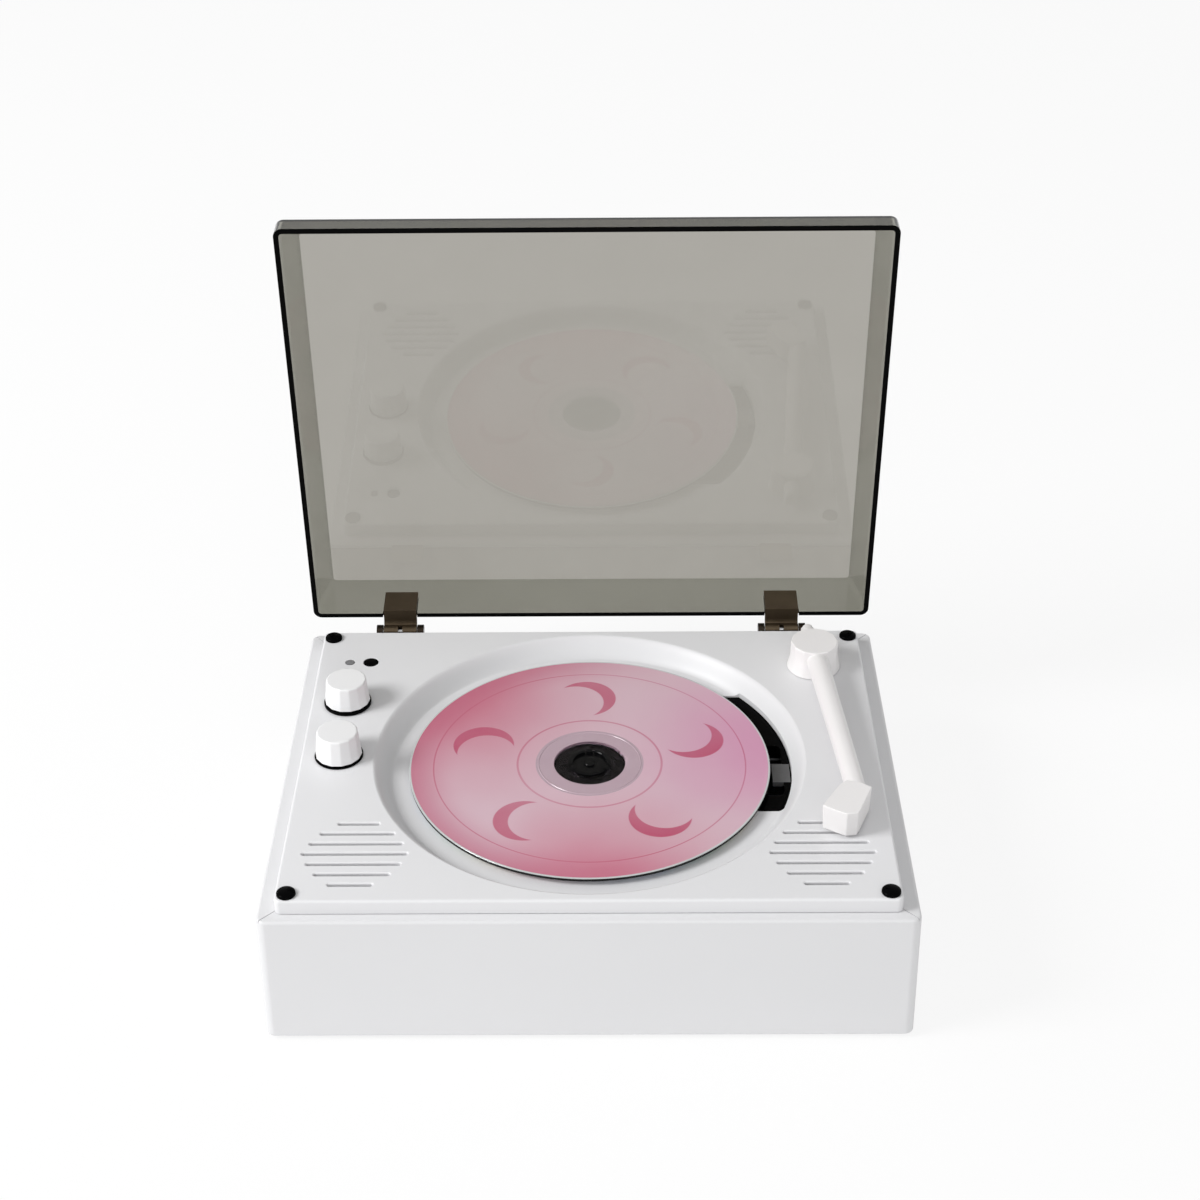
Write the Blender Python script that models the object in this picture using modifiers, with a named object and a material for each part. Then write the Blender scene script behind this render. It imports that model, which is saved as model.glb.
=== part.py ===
"""Portable CD player with a hinged smoked dust cover, built piece by piece.

Metres, +Z up. X runs to the viewer's right and Y to the back. The origin is on the surface that
the player stands on, under the centre of the box round the whole player with its lid open.
"""

import math

import bmesh
import bpy
from mathutils import Vector

for old_object in list(bpy.data.objects):
    bpy.data.objects.remove(old_object, do_unlink=True)

# Driving sizes

DISC_RADIUS = 0.0600
DISC_HOLE_RADIUS = 0.0075
DISC_THICKNESS = 0.0012
DISC_DROP = 0.0036
WELL_SIDE_GAP = 0.0055
WELL_SLOPE = 0.0065
FLOOR_DROP = 0.0065
FLOOR_THICKNESS = 0.0020
SIDE_STRIP = 0.0240
END_STRIP = 0.0025
DECK_RISE = 0.0053
SIDE_MARGIN = 0.0055
FRONT_MARGIN = 0.0037
BACK_MARGIN = 0.0063
BASE_HEIGHT = 0.0470
FOOT_PROUD = 0.0012
WALL = 0.0025
LID_OPEN_ANGLE = math.radians(85.0)
LID_DEPTH = 0.0223
LID_WALL = 0.0018
RIM_GAP = 0.0004
PIVOT_BEHIND = 0.0048
PIVOT_BELOW = 0.0017

# Clearances, and how far a cut runs past the face that it opens

FIT_GAP = 0.0003
SEAT_GAP = 0.0001
RUN_GAP = 0.00025
CUT_OVERRUN = 0.0020
MERGE_DISTANCE = 0.000001

# The levels and places that these sizes give. X and Y are counted from the disc's centre.

WELL_FOOT_RADIUS = DISC_RADIUS + WELL_SIDE_GAP
WELL_LIP_RADIUS = WELL_FOOT_RADIUS + WELL_SLOPE
DECK_WIDTH = 2 * (WELL_LIP_RADIUS + SIDE_STRIP)
DECK_DEPTH = 2 * (WELL_LIP_RADIUS + END_STRIP)
BASE_WIDTH = DECK_WIDTH + 2 * SIDE_MARGIN
BASE_DEPTH = DECK_DEPTH + FRONT_MARGIN + BACK_MARGIN
LEDGE_Z = FOOT_PROUD + BASE_HEIGHT
DECK_TOP = LEDGE_Z + DECK_RISE
BASE_FRONT = -DECK_DEPTH / 2 - FRONT_MARGIN
BASE_BACK = DECK_DEPTH / 2 + BACK_MARGIN
BASE_MIDDLE = (BASE_FRONT + BASE_BACK) / 2
PIVOT_Y = BASE_BACK + PIVOT_BEHIND
PIVOT_Z = LEDGE_Z - PIVOT_BELOW
LID_TOP_ABOVE_PIVOT = PIVOT_BELOW + RIM_GAP + LID_DEPTH
REAR_Y = (PIVOT_Y - PIVOT_BEHIND * math.cos(LID_OPEN_ANGLE)
          + LID_TOP_ABOVE_PIVOT * math.sin(LID_OPEN_ANGLE))
CENTRE_Y = -(BASE_FRONT + REAR_Y) / 2
FLOOR_UNDER = -FLOOR_DROP - FLOOR_THICKNESS

SMALL_SIDES = 16
MIDDLE_SIDES = 24
ROUND_SIDES = 32
BIG_SIDES = 64
SHARP_ANGLE = math.radians(40)


def place(x, y, z=0.0):
    """A point given from the disc's centre in X and Y, and from the deck's top in Z."""
    return Vector((x, CENTRE_Y + y, DECK_TOP + z))


player = bpy.data.collections.new("portable_cd_player")
cutters = bpy.data.collections.new("cutters")
for collection in (player, cutters):
    bpy.context.scene.collection.children.link(collection)
cutters.hide_render = True


def material(name, colour, roughness, metallic=0.0, alpha=1.0):
    """A Principled surface of one colour for a sub-part."""
    made = bpy.data.materials.new(name)
    made.use_nodes = True
    shader = made.node_tree.nodes["Principled BSDF"]
    shader.inputs["Base Color"].default_value = (*colour, 1.0)
    shader.inputs["Roughness"].default_value = roughness
    shader.inputs["Metallic"].default_value = metallic
    shader.inputs["Alpha"].default_value = alpha
    return made


white_plastic = material("white_plastic", (0.80, 0.80, 0.81), 0.45)
black_plastic = material("black_plastic", (0.012, 0.012, 0.013), 0.35)
black_rubber = material("black_rubber", (0.02, 0.02, 0.02), 0.70)
smoked_clear = material("smoked_clear", (0.16, 0.15, 0.12), 0.05, 0.0, 0.45)
hinge_bronze = material("hinge_bronze", (0.07, 0.05, 0.03), 0.35, 0.6)
bright_steel = material("bright_steel", (0.62, 0.62, 0.63), 0.25, 1.0)
grey_metal = material("grey_metal", (0.30, 0.30, 0.31), 0.40, 0.8)
disc_print = material("disc_print", (0.78, 0.32, 0.42), 0.25)
lens_glass = material("lens_glass", (0.20, 0.24, 0.35), 0.05)
board_green = material("board_green", (0.03, 0.16, 0.08), 0.50)
battery_blue = material("battery_blue", (0.05, 0.13, 0.30), 0.40)
cone_paper = material("cone_paper", (0.05, 0.05, 0.05), 0.80)
led_grey = material("led_grey", (0.35, 0.35, 0.36), 0.20)
gear_nylon = material("gear_nylon", (0.75, 0.74, 0.68), 0.50)


def add(name, mesh, surface):
    """Makes a mesh a named sub-part, or with no surface a cutter that nothing shows."""
    made = bpy.data.objects.new(name, mesh)
    if surface:
        player.objects.link(made)
        mesh.materials.append(surface)
    else:
        cutters.objects.link(made)
        made.hide_render = True
        made.display_type = "WIRE"
    return made


def from_bmesh(name, shape, surface):
    """A sub-part or a cutter from a shape that is ready."""
    mesh = bpy.data.meshes.new(name)
    shape.to_mesh(mesh)
    shape.free()
    return add(name, mesh, surface)


def cut(target, *tools):
    """Takes the tools' space out of the target."""
    for tool in tools:
        step = target.modifiers.new("cut_" + tool.name, "BOOLEAN")
        step.operation = "DIFFERENCE"
        step.solver = "EXACT"
        step.object = tool


def join(target, *tools):
    """Makes the tools one piece with the target."""
    for tool in tools:
        step = target.modifiers.new("join_" + tool.name, "BOOLEAN")
        step.operation = "UNION"
        step.solver = "EXACT"
        step.object = tool


def round_edges(target, width, segments=2):
    """Rounds the target's sharp edges."""
    edge = target.modifiers.new("rounding", "BEVEL")
    edge.width = width
    edge.segments = segments
    edge.limit_method = "ANGLE"
    edge.angle_limit = SHARP_ANGLE


def block(name, low, high, surface=None, rounding=0.0):
    """A box between two corners, with rounded edges if asked."""
    low, high = Vector(low), Vector(high)
    shape = bmesh.new()
    bmesh.ops.create_cube(shape, size=1.0)
    bmesh.ops.scale(shape, vec=high - low, verts=shape.verts)
    made = from_bmesh(name, shape, surface)
    made.location = (low + high) / 2
    if rounding:
        round_edges(made, rounding)
    return made


def rod(name, radius, start, end, surface=None, sides=SMALL_SIDES, end_radius=None):
    """A round bar between two points, tapered if it has a radius of its own at its end."""
    start, end = Vector(start), Vector(end)
    along = end - start
    shape = bmesh.new()
    bmesh.ops.create_cone(shape, cap_ends=True, segments=sides, radius1=radius,
                          radius2=radius if end_radius is None else end_radius, depth=along.length)
    made = from_bmesh(name, shape, surface)
    made.rotation_mode = "QUATERNION"
    made.rotation_quaternion = along.to_track_quat("Z", "Y")
    made.location = (start + end) / 2
    made.data.shade_smooth()
    made.data.set_sharp_from_angle(angle=SHARP_ANGLE)
    return made


def turned(name, profile, centre, surface=None, sides=ROUND_SIDES, ring=False):
    """A turned shape: (radius, height) points, top to bottom down its outer side."""
    points = [(radius, 0.0, height) for radius, height in profile]
    edges = [(i, i + 1) for i in range(len(points) - 1)]
    if ring:
        edges.append((len(points) - 1, 0))
    mesh = bpy.data.meshes.new(name)
    mesh.from_pydata(points, edges, [])
    made = add(name, mesh, surface)
    made.location = centre
    screw = made.modifiers.new("turn", "SCREW")
    screw.steps = sides
    screw.render_steps = sides
    screw.use_merge_vertices = True
    screw.merge_threshold = MERGE_DISTANCE
    screw.use_smooth_shade = False
    return made


def rounded_rectangle(width, depth, radius, middle=(0.0, 0.0), points=5):
    """The outline of a rectangle with round corners."""
    outline = []
    for quarter, (side_x, side_y) in enumerate(((1, 1), (-1, 1), (-1, -1), (1, -1))):
        for i in range(points):
            angle = math.pi / 2 * (quarter + i / (points - 1))
            outline.append((middle[0] + side_x * (width / 2 - radius) + radius * math.cos(angle),
                            middle[1] + side_y * (depth / 2 - radius) + radius * math.sin(angle)))
    return outline


def slot_outline(length, width, middle, points=4):
    """The outline of a slot with round ends that runs along X."""
    outline = []
    for side, first in ((1, -math.pi / 2), (-1, math.pi / 2)):
        for i in range(points):
            angle = first + math.pi * i / (points - 1)
            outline.append((middle[0] + side * (length - width) / 2 + width / 2 * math.cos(angle),
                            middle[1] + width / 2 * math.sin(angle)))
    return outline


def circle_outline(radius, middle, points=SMALL_SIDES):
    """The outline of a round plate or hole."""
    steps = [2 * math.pi * i / points for i in range(points)]
    return [(middle[0] + radius * math.cos(step), middle[1] + radius * math.sin(step)) for step in steps]


def flat(name, outlines, low, thickness, surface=None, edge=0.0):
    """A flat piece over low: the first outline is its rim and the others are its holes."""
    curve = bpy.data.curves.new(name, "CURVE")
    curve.dimensions = "2D"
    curve.fill_mode = "BOTH"
    curve.extrude = thickness / 2 - edge
    curve.bevel_depth = edge
    curve.bevel_resolution = 1
    curve.offset = -edge
    for outline in outlines:
        spline = curve.splines.new("POLY")
        spline.points.add(len(outline) - 1)
        for point, (x, y) in zip(spline.points, outline):
            point.co = (x, y, 0.0, 1.0)
        spline.use_cyclic_u = True
    guide = bpy.data.objects.new(name + "_outline", curve)
    bpy.context.scene.collection.objects.link(guide)
    graph = bpy.context.evaluated_depsgraph_get()
    mesh = bpy.data.meshes.new_from_object(guide.evaluated_get(graph))
    bpy.data.objects.remove(guide, do_unlink=True)
    shape = bmesh.new()
    shape.from_mesh(mesh)
    bpy.data.meshes.remove(mesh)
    bmesh.ops.remove_doubles(shape, verts=shape.verts, dist=MERGE_DISTANCE)
    bmesh.ops.recalc_face_normals(shape, faces=shape.faces)
    made = from_bmesh(name, shape, surface)
    made.location = Vector((0.0, 0.0, thickness / 2)) + Vector(low)
    return made


def lofted(name, rings, surface=None):
    """A solid skinned over rings of points, all with as many points, from one end to the other."""
    shape = bmesh.new()
    loops = [[shape.verts.new(point) for point in ring] for ring in rings]
    count = len(rings[0])
    for lower, upper in zip(loops, loops[1:]):
        for i in range(count):
            shape.faces.new((lower[i], lower[(i + 1) % count], upper[(i + 1) % count], upper[i]))
    shape.faces.new(loops[0])
    shape.faces.new(loops[-1])
    bmesh.ops.recalc_face_normals(shape, faces=shape.faces)
    return from_bmesh(name, shape, surface)


# Base shell: the white box, four walls with a ledge round the top that carries the deck

BASE_CORNER = 0.0030
BASE_EDGE = 0.0010
BASE_DRAFT = 0.0006
LEDGE_WIDTH = 0.0092
WELL_WALL = 0.0016
POST_RADIUS = 0.0040
POST_INSET = 0.0035
MITRE_GROOVE = 0.0003
BOARD_TOP_HEIGHT = 0.0100
USB_X = -0.0320
USB_WIDTH = 0.0094
USB_HEIGHT = 0.0036
JACK_X = -0.0500
JACK_RISE = 0.0033
JACK_HOLE_RADIUS = 0.0031
SWITCH_X = -0.0140
SWITCH_SLOT_WIDTH = 0.0090
SWITCH_SLOT_HEIGHT = 0.0030
COVER_THICKNESS = 0.0020
SCREW_RADIUS = 0.0013
SCREW_LENGTH = 0.0100
SCREW_SIDES = 12
MITRE_ANGLE = math.radians(45)

base_centre = (0.0, CENTRE_Y + BASE_MIDDLE)
cover_top = FOOT_PROUD + COVER_THICKNESS
ledge_under = LEDGE_Z - WALL
back_face_y = CENTRE_Y + BASE_BACK
board_top = FOOT_PROUD + BOARD_TOP_HEIGHT
port_z = board_top + USB_HEIGHT / 2
jack_z = board_top + JACK_RISE

base_shell = flat("base_shell", [rounded_rectangle(BASE_WIDTH, BASE_DEPTH, BASE_CORNER, base_centre)],
                  (0, 0, FOOT_PROUD), BASE_HEIGHT, white_plastic, BASE_EDGE)
for vertex in base_shell.data.vertices:
    below_ledge = BASE_HEIGHT / 2 - vertex.co.z
    vertex.co.x += math.copysign(BASE_DRAFT * below_ledge / BASE_HEIGHT, vertex.co.x)
cut(base_shell,
    flat("base_hollow", [rounded_rectangle(BASE_WIDTH - 2 * WALL, BASE_DEPTH - 2 * WALL, BASE_CORNER,
                                           base_centre)],
         (0, 0, FOOT_PROUD - CUT_OVERRUN), ledge_under - FOOT_PROUD + CUT_OVERRUN),
    flat("deck_opening", [rounded_rectangle(BASE_WIDTH - 2 * LEDGE_WIDTH, BASE_DEPTH - 2 * LEDGE_WIDTH,
                                            BASE_CORNER, base_centre)],
         (0, 0, ledge_under - CUT_OVERRUN), WALL + 2 * CUT_OVERRUN),
    rod("well_clearance", WELL_LIP_RADIUS + WELL_WALL + FIT_GAP, (0, CENTRE_Y, ledge_under - CUT_OVERRUN),
        (0, CENTRE_Y, LEDGE_Z + CUT_OVERRUN), sides=BIG_SIDES))

post_x = BASE_WIDTH / 2 - WALL - POST_INSET
post_y = BASE_DEPTH / 2 - WALL - POST_INSET
posts = [(side_x * post_x, base_centre[1] + side_y * post_y) for side_x in (-1, 1) for side_y in (-1, 1)]
for x, y in posts:
    join(base_shell, rod("screw_post", POST_RADIUS, (x, y, cover_top + FIT_GAP), (x, y, LEDGE_Z - WALL / 2),
                         sides=SCREW_SIDES))
    cut(base_shell, rod("screw_bore", SCREW_RADIUS + SEAT_GAP, (x, y, FOOT_PROUD),
                        (x, y, cover_top + SCREW_LENGTH + FIT_GAP), sides=SCREW_SIDES))

wall_from, wall_to = back_face_y - WALL - CUT_OVERRUN, back_face_y + CUT_OVERRUN
cut(base_shell,
    block("usb_cut", (USB_X - USB_WIDTH / 2, wall_from, port_z - USB_HEIGHT / 2),
          (USB_X + USB_WIDTH / 2, wall_to, port_z + USB_HEIGHT / 2)),
    rod("jack_cut", JACK_HOLE_RADIUS, (JACK_X, wall_from, jack_z), (JACK_X, wall_to, jack_z)),
    block("switch_cut", (SWITCH_X - SWITCH_SLOT_WIDTH / 2, wall_from, port_z - SWITCH_SLOT_HEIGHT / 2),
          (SWITCH_X + SWITCH_SLOT_WIDTH / 2, wall_to, port_z + SWITCH_SLOT_HEIGHT / 2)))

# Fine mitre lines cross the ledge at its corners
for side_x in (-1, 1):
    for side_y in (-1, 1):
        groove = block("mitre_groove", (-LEDGE_WIDTH, -MITRE_GROOVE / 2, -MITRE_GROOVE),
                       (LEDGE_WIDTH, MITRE_GROOVE / 2, MITRE_GROOVE))
        groove.rotation_euler.z = side_x * side_y * MITRE_ANGLE
        groove.location = (side_x * BASE_WIDTH / 2, base_centre[1] + side_y * BASE_DEPTH / 2, LEDGE_Z)
        cut(base_shell, groove)

# Bottom cover: a plate inside the walls, held by screws up into the posts

SCREW_HOLE_RADIUS = 0.0016
SCREW_HEAD_RADIUS = 0.0026
SCREW_HEAD_HEIGHT = 0.0009
FOOT_RADIUS = 0.0055
FOOT_PLUG_RADIUS = 0.0020
FOOT_INSET = 0.0150
BOARD_WIDTH = 0.0600
BOARD_DEPTH = 0.0420
BOARD_THICKNESS = 0.0016
BOARD_RIGHT = -0.0030
BOSS_RADIUS = 0.0025
BOSS_INSET = 0.0040

cover_width = BASE_WIDTH - 2 * WALL - 2 * FIT_GAP
cover_depth = BASE_DEPTH - 2 * WALL - 2 * FIT_GAP
foot_x = BASE_WIDTH / 2 - FOOT_INSET
foot_y = BASE_DEPTH / 2 - FOOT_INSET
feet = [(side_x * foot_x, base_centre[1] + side_y * foot_y) for side_x in (-1, 1) for side_y in (-1, 1)]
cover_holes = [circle_outline(SCREW_HOLE_RADIUS, post, SCREW_SIDES) for post in posts]
cover_holes += [circle_outline(FOOT_PLUG_RADIUS + FIT_GAP, foot, SCREW_SIDES) for foot in feet]
bottom_cover = flat("bottom_cover",
                    [rounded_rectangle(cover_width, cover_depth, BASE_CORNER, base_centre)] + cover_holes,
                    (0, 0, FOOT_PROUD), COVER_THICKNESS, white_plastic)

board_low = board_top - BOARD_THICKNESS
board_left = BOARD_RIGHT - BOARD_WIDTH
board_back = back_face_y - WALL - FIT_GAP
board_front = board_back - BOARD_DEPTH
board_bosses = [(x, y) for x in (board_left + BOSS_INSET, BOARD_RIGHT - BOSS_INSET)
                for y in (board_front + BOSS_INSET, board_back - 2 * BOSS_INSET)]
for x, y in board_bosses:
    join(bottom_cover, rod("board_boss", BOSS_RADIUS, (x, y, cover_top - COVER_THICKNESS / 2),
                           (x, y, board_low - FIT_GAP), sides=SCREW_SIDES))

# Screws, up through the cover into the posts

corners = ("front_left", "back_left", "front_right", "back_right")
for corner, (x, y) in zip(corners, posts):
    head_top = FOOT_PROUD - SEAT_GAP
    head_low = head_top - SCREW_HEAD_HEIGHT
    turned("screw_" + corner,
           [(0, cover_top + SCREW_LENGTH), (SCREW_RADIUS, cover_top + SCREW_LENGTH), (SCREW_RADIUS, head_top),
            (SCREW_HEAD_RADIUS, head_top), (SCREW_HEAD_RADIUS, head_low + SCREW_HEAD_HEIGHT / 2),
            (SCREW_HEAD_RADIUS - SCREW_HEAD_HEIGHT / 2, head_low), (0, head_low)],
           (x, y, 0), grey_metal, SCREW_SIDES)

# Rubber feet, each with a plug that is pressed up into the cover

for corner, (x, y) in zip(corners, feet):
    foot_top = FOOT_PROUD - SEAT_GAP
    turned("foot_" + corner,
           [(0, cover_top), (FOOT_PLUG_RADIUS, cover_top), (FOOT_PLUG_RADIUS, foot_top),
            (FOOT_RADIUS, foot_top), (FOOT_RADIUS, FOOT_PROUD / 3), (FOOT_RADIUS - FOOT_PROUD / 3, 0),
            (0, 0)], (x, y, 0), black_rubber, SCREW_SIDES)

# Circuit board with the charging socket, the sound socket and the power switch at the back wall

USB_BODY_WIDTH = USB_WIDTH - 2 * FIT_GAP
USB_BODY_HEIGHT = USB_HEIGHT - 2 * FIT_GAP
USB_BODY_DEPTH = 0.0074
USB_WALL = 0.0004
USB_TONGUE = 0.0007
JACK_BODY_WIDTH = 0.0062
JACK_BODY_DEPTH = 0.0120
JACK_COLLAR_RADIUS = 0.0028
JACK_BORE_RADIUS = 0.00178
SWITCH_BODY_WIDTH = 0.0130
SWITCH_BODY_DEPTH = 0.0040
SWITCH_TRAVEL = 0.0030
SWITCH_KNOB_WIDTH = 0.0050
SWITCH_KNOB_PROUD = 0.0010
SWITCH_STEM_HEIGHT = 0.0012

block("circuit_board", (board_left, board_front, board_low), (BOARD_RIGHT, board_back, board_top),
      board_green)

socket_back = back_face_y - WALL / 2
socket_low = board_top + SEAT_GAP
usb_low, usb_high = port_z - USB_BODY_HEIGHT / 2, port_z + USB_BODY_HEIGHT / 2
usb_socket = block("usb_socket", (USB_X - USB_BODY_WIDTH / 2, board_back - USB_BODY_DEPTH, usb_low),
                   (USB_X + USB_BODY_WIDTH / 2, socket_back, usb_high), bright_steel, USB_BODY_HEIGHT / 4)
bore_half = USB_BODY_WIDTH / 2 - USB_WALL
cut(usb_socket, block("usb_bore", (USB_X - bore_half, board_back - USB_BODY_DEPTH / 2, usb_low + USB_WALL),
                      (USB_X + bore_half, socket_back + CUT_OVERRUN, usb_high - USB_WALL)))
join(usb_socket, block("usb_tongue", (USB_X - USB_BODY_WIDTH / 3, board_back - 2 * USB_BODY_DEPTH / 3,
                                      port_z - USB_TONGUE / 2),
                       (USB_X + USB_BODY_WIDTH / 3, socket_back - USB_TONGUE, port_z + USB_TONGUE / 2)))

audio_jack = block("audio_jack", (JACK_X - JACK_BODY_WIDTH / 2, board_back - JACK_BODY_DEPTH, socket_low),
                   (JACK_X + JACK_BODY_WIDTH / 2, board_back - FIT_GAP, jack_z + JACK_BODY_WIDTH / 2),
                   black_plastic)
join(audio_jack, rod("jack_collar", JACK_COLLAR_RADIUS, (JACK_X, board_back - JACK_BODY_DEPTH / 2, jack_z),
                     (JACK_X, back_face_y - FIT_GAP, jack_z)))
cut(audio_jack, rod("jack_bore", JACK_BORE_RADIUS, (JACK_X, board_back - JACK_BODY_DEPTH + WALL, jack_z),
                    (JACK_X, wall_to, jack_z)))

block("switch_body", (SWITCH_X - SWITCH_BODY_WIDTH / 2, board_back - SWITCH_BODY_DEPTH, socket_low),
      (SWITCH_X + SWITCH_BODY_WIDTH / 2, board_back - FIT_GAP, port_z + USB_BODY_HEIGHT / 2), bright_steel)
slider_x = SWITCH_X - SWITCH_TRAVEL / 2
block("power_slider",
      (slider_x - SWITCH_KNOB_WIDTH / 2, board_back + SEAT_GAP, port_z - SWITCH_STEM_HEIGHT),
      (slider_x + SWITCH_KNOB_WIDTH / 2, back_face_y + SWITCH_KNOB_PROUD, port_z + SWITCH_STEM_HEIGHT),
      black_plastic, FIT_GAP)

# Battery pack, lying on the bottom cover

BATTERY_WIDTH = 0.0620
BATTERY_DEPTH = 0.0360
BATTERY_HEIGHT = 0.0100
BATTERY_X = 0.0500
BATTERY_Y = -0.0200
BATTERY_EDGE = 0.0015

block("battery_pack",
      (BATTERY_X - BATTERY_WIDTH / 2, CENTRE_Y + BATTERY_Y - BATTERY_DEPTH / 2, cover_top + FIT_GAP),
      (BATTERY_X + BATTERY_WIDTH / 2, CENTRE_Y + BATTERY_Y + BATTERY_DEPTH / 2,
       cover_top + FIT_GAP + BATTERY_HEIGHT), battery_blue, BATTERY_EDGE)

# Top deck: a raised white moulding with a dished well, seven sound slots a side and a window

DECK_CORNER = 0.0020
DECK_EDGE = 0.0007
DECK_PLATE = 0.0025
DECK_SKIRT = 0.0022
WELL_STEPS = 7
WELL_UNDER_STEPS = 2
WELL_LIP_LIFT = 0.00004
HUB_OPENING_RADIUS = 0.0140
WINDOW_PAST_FOOT = 0.0018
WINDOW_LEFT = 0.0130
WINDOW_FRONT = -0.0228
WINDOW_BACK = 0.0425
WINDOW_ARC_STEPS = 12
SLOT_WIDTH = 0.0012
SLOT_LENGTH = 0.0332
SLOT_PITCH = 0.0050
SLOT_LENGTH_SHARES = (0.40, 0.71, 0.89, 1.0, 0.89, 0.71, 0.42)
SPEAKER_RADIUS = 0.0148
SPEAKER_TURN = math.radians(35.2)
SPEAKER_GAP = 0.0012
CAP_SIDE_INSET = 0.0037
CAP_FRONT_INSET = 0.0034
CAP_BACK_INSET = 0.0044
CAP_STEM_RADIUS = 0.0012
LED_SIDE_INSET = 0.0110
IR_SIDE_INSET = 0.0184
LENS_BACK_INSET = 0.0195
LED_RADIUS = 0.0015
IR_RADIUS = 0.0025
KNOB_SIDE_INSET = 0.0127
VOLUME_BACK_INSET = 0.0445
KNOB_SPACING = 0.0302
SHAFT_RADIUS = 0.0030
ARM_SIDE_INSET = 0.0175
ARM_BACK_INSET = 0.0229
ARM_POST_RADIUS = 0.0025

WINDOW_RADIUS = WELL_FOOT_RADIUS + WINDOW_PAST_FOOT
SPEAKER_X = (WELL_LIP_RADIUS + WELL_WALL + SPEAKER_GAP + SPEAKER_RADIUS) * math.cos(SPEAKER_TURN)
SPEAKER_Y = -(WELL_LIP_RADIUS + WELL_WALL + SPEAKER_GAP + SPEAKER_RADIUS) * math.sin(SPEAKER_TURN)
LED_X, LED_Y = LED_SIDE_INSET - DECK_WIDTH / 2, DECK_DEPTH / 2 - LENS_BACK_INSET
IR_X, IR_Y = IR_SIDE_INSET - DECK_WIDTH / 2, DECK_DEPTH / 2 - LENS_BACK_INSET
KNOB_X = KNOB_SIDE_INSET - DECK_WIDTH / 2
VOLUME_Y = DECK_DEPTH / 2 - VOLUME_BACK_INSET
MODE_Y = VOLUME_Y - KNOB_SPACING
ARM_X, ARM_Y = DECK_WIDTH / 2 - ARM_SIDE_INSET, DECK_DEPTH / 2 - ARM_BACK_INSET

deck_under = LEDGE_Z + SEAT_GAP
deck_height = DECK_TOP - deck_under
cap_x = DECK_WIDTH / 2 - CAP_SIDE_INSET
cap_ys = (CENTRE_Y - DECK_DEPTH / 2 + CAP_FRONT_INSET, CENTRE_Y + DECK_DEPTH / 2 - CAP_BACK_INSET)
caps = [(side_x * cap_x, y) for side_x in (-1, 1) for y in cap_ys]


def well_wall(steps):
    """The well's side from its lip down to its foot, as radii and drops along a soft curve."""
    points = []
    for step in range(steps, -1, -1):
        rise_share = step / steps
        ease_share = rise_share * rise_share * (3 - 2 * rise_share)
        points.append((WELL_FOOT_RADIUS + rise_share * WELL_SLOPE, -FLOOR_DROP * (1 - ease_share)))
    return points


well_under = [(radius + WELL_WALL, drop - FLOOR_THICKNESS) for radius, drop in well_wall(WELL_UNDER_STEPS)]
plate_middle = -DECK_PLATE / 2
bowl_profile = ([(0, plate_middle), (well_under[0][0], plate_middle)]
                + [point for point in well_under if point[1] < plate_middle] + [(0, FLOOR_UNDER)])
well_profile = ([(0, CUT_OVERRUN), (WELL_LIP_RADIUS, CUT_OVERRUN), (WELL_LIP_RADIUS, WELL_LIP_LIFT)]
                + well_wall(WELL_STEPS)[1:] + [(0, -FLOOR_DROP)])

deck_centre = (0.0, CENTRE_Y)
top_deck = flat("top_deck", [rounded_rectangle(DECK_WIDTH, DECK_DEPTH, DECK_CORNER, deck_centre)],
                (0, 0, deck_under), deck_height, white_plastic, DECK_EDGE)
cut(top_deck, flat("deck_hollow",
                   [rounded_rectangle(DECK_WIDTH - 2 * DECK_SKIRT, DECK_DEPTH - 2 * DECK_SKIRT, DECK_CORNER,
                                      deck_centre)],
                   (0, 0, deck_under - CUT_OVERRUN), deck_height - DECK_PLATE + CUT_OVERRUN))
join(top_deck, turned("well_bowl", bowl_profile, place(0, 0), sides=ROUND_SIDES))
cut(top_deck, turned("well_cut", well_profile, place(0, 0), sides=BIG_SIDES))


def window_outline(inset):
    """The window's edge: an arc round the disc's centre, closed by three straight sides."""
    radius = WINDOW_RADIUS - inset
    front, back, left = WINDOW_FRONT + inset, WINDOW_BACK - inset, WINDOW_LEFT + inset
    first, last = math.asin(front / radius), math.asin(back / radius)
    turns = [first + (last - first) * i / WINDOW_ARC_STEPS for i in range(WINDOW_ARC_STEPS + 1)]
    arc = [(radius * math.cos(turn), CENTRE_Y + radius * math.sin(turn)) for turn in turns]
    return arc + [(left, CENTRE_Y + back), (left, CENTRE_Y + front)]


cut_low = DECK_TOP + FLOOR_UNDER - CUT_OVERRUN
cut_height = FLOOR_DROP + FLOOR_THICKNESS + 2 * CUT_OVERRUN
hub_opening = circle_outline(HUB_OPENING_RADIUS, deck_centre, ROUND_SIDES)
cut(top_deck, flat("window_cut", [window_outline(0)], (0, 0, cut_low), cut_height),
    flat("hub_cut", [hub_opening], (0, 0, cut_low), cut_height))

for side in (-1, 1):
    for row, share in enumerate(SLOT_LENGTH_SHARES):
        y = SPEAKER_Y + ((len(SLOT_LENGTH_SHARES) - 1) / 2 - row) * SLOT_PITCH
        outline = slot_outline(SLOT_LENGTH * share, SLOT_WIDTH, (side * SPEAKER_X, CENTRE_Y + y))
        cut(top_deck, flat("sound_slot", [outline], (0, 0, DECK_TOP - DECK_PLATE - CUT_OVERRUN),
                           DECK_PLATE + 2 * CUT_OVERRUN))

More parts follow.
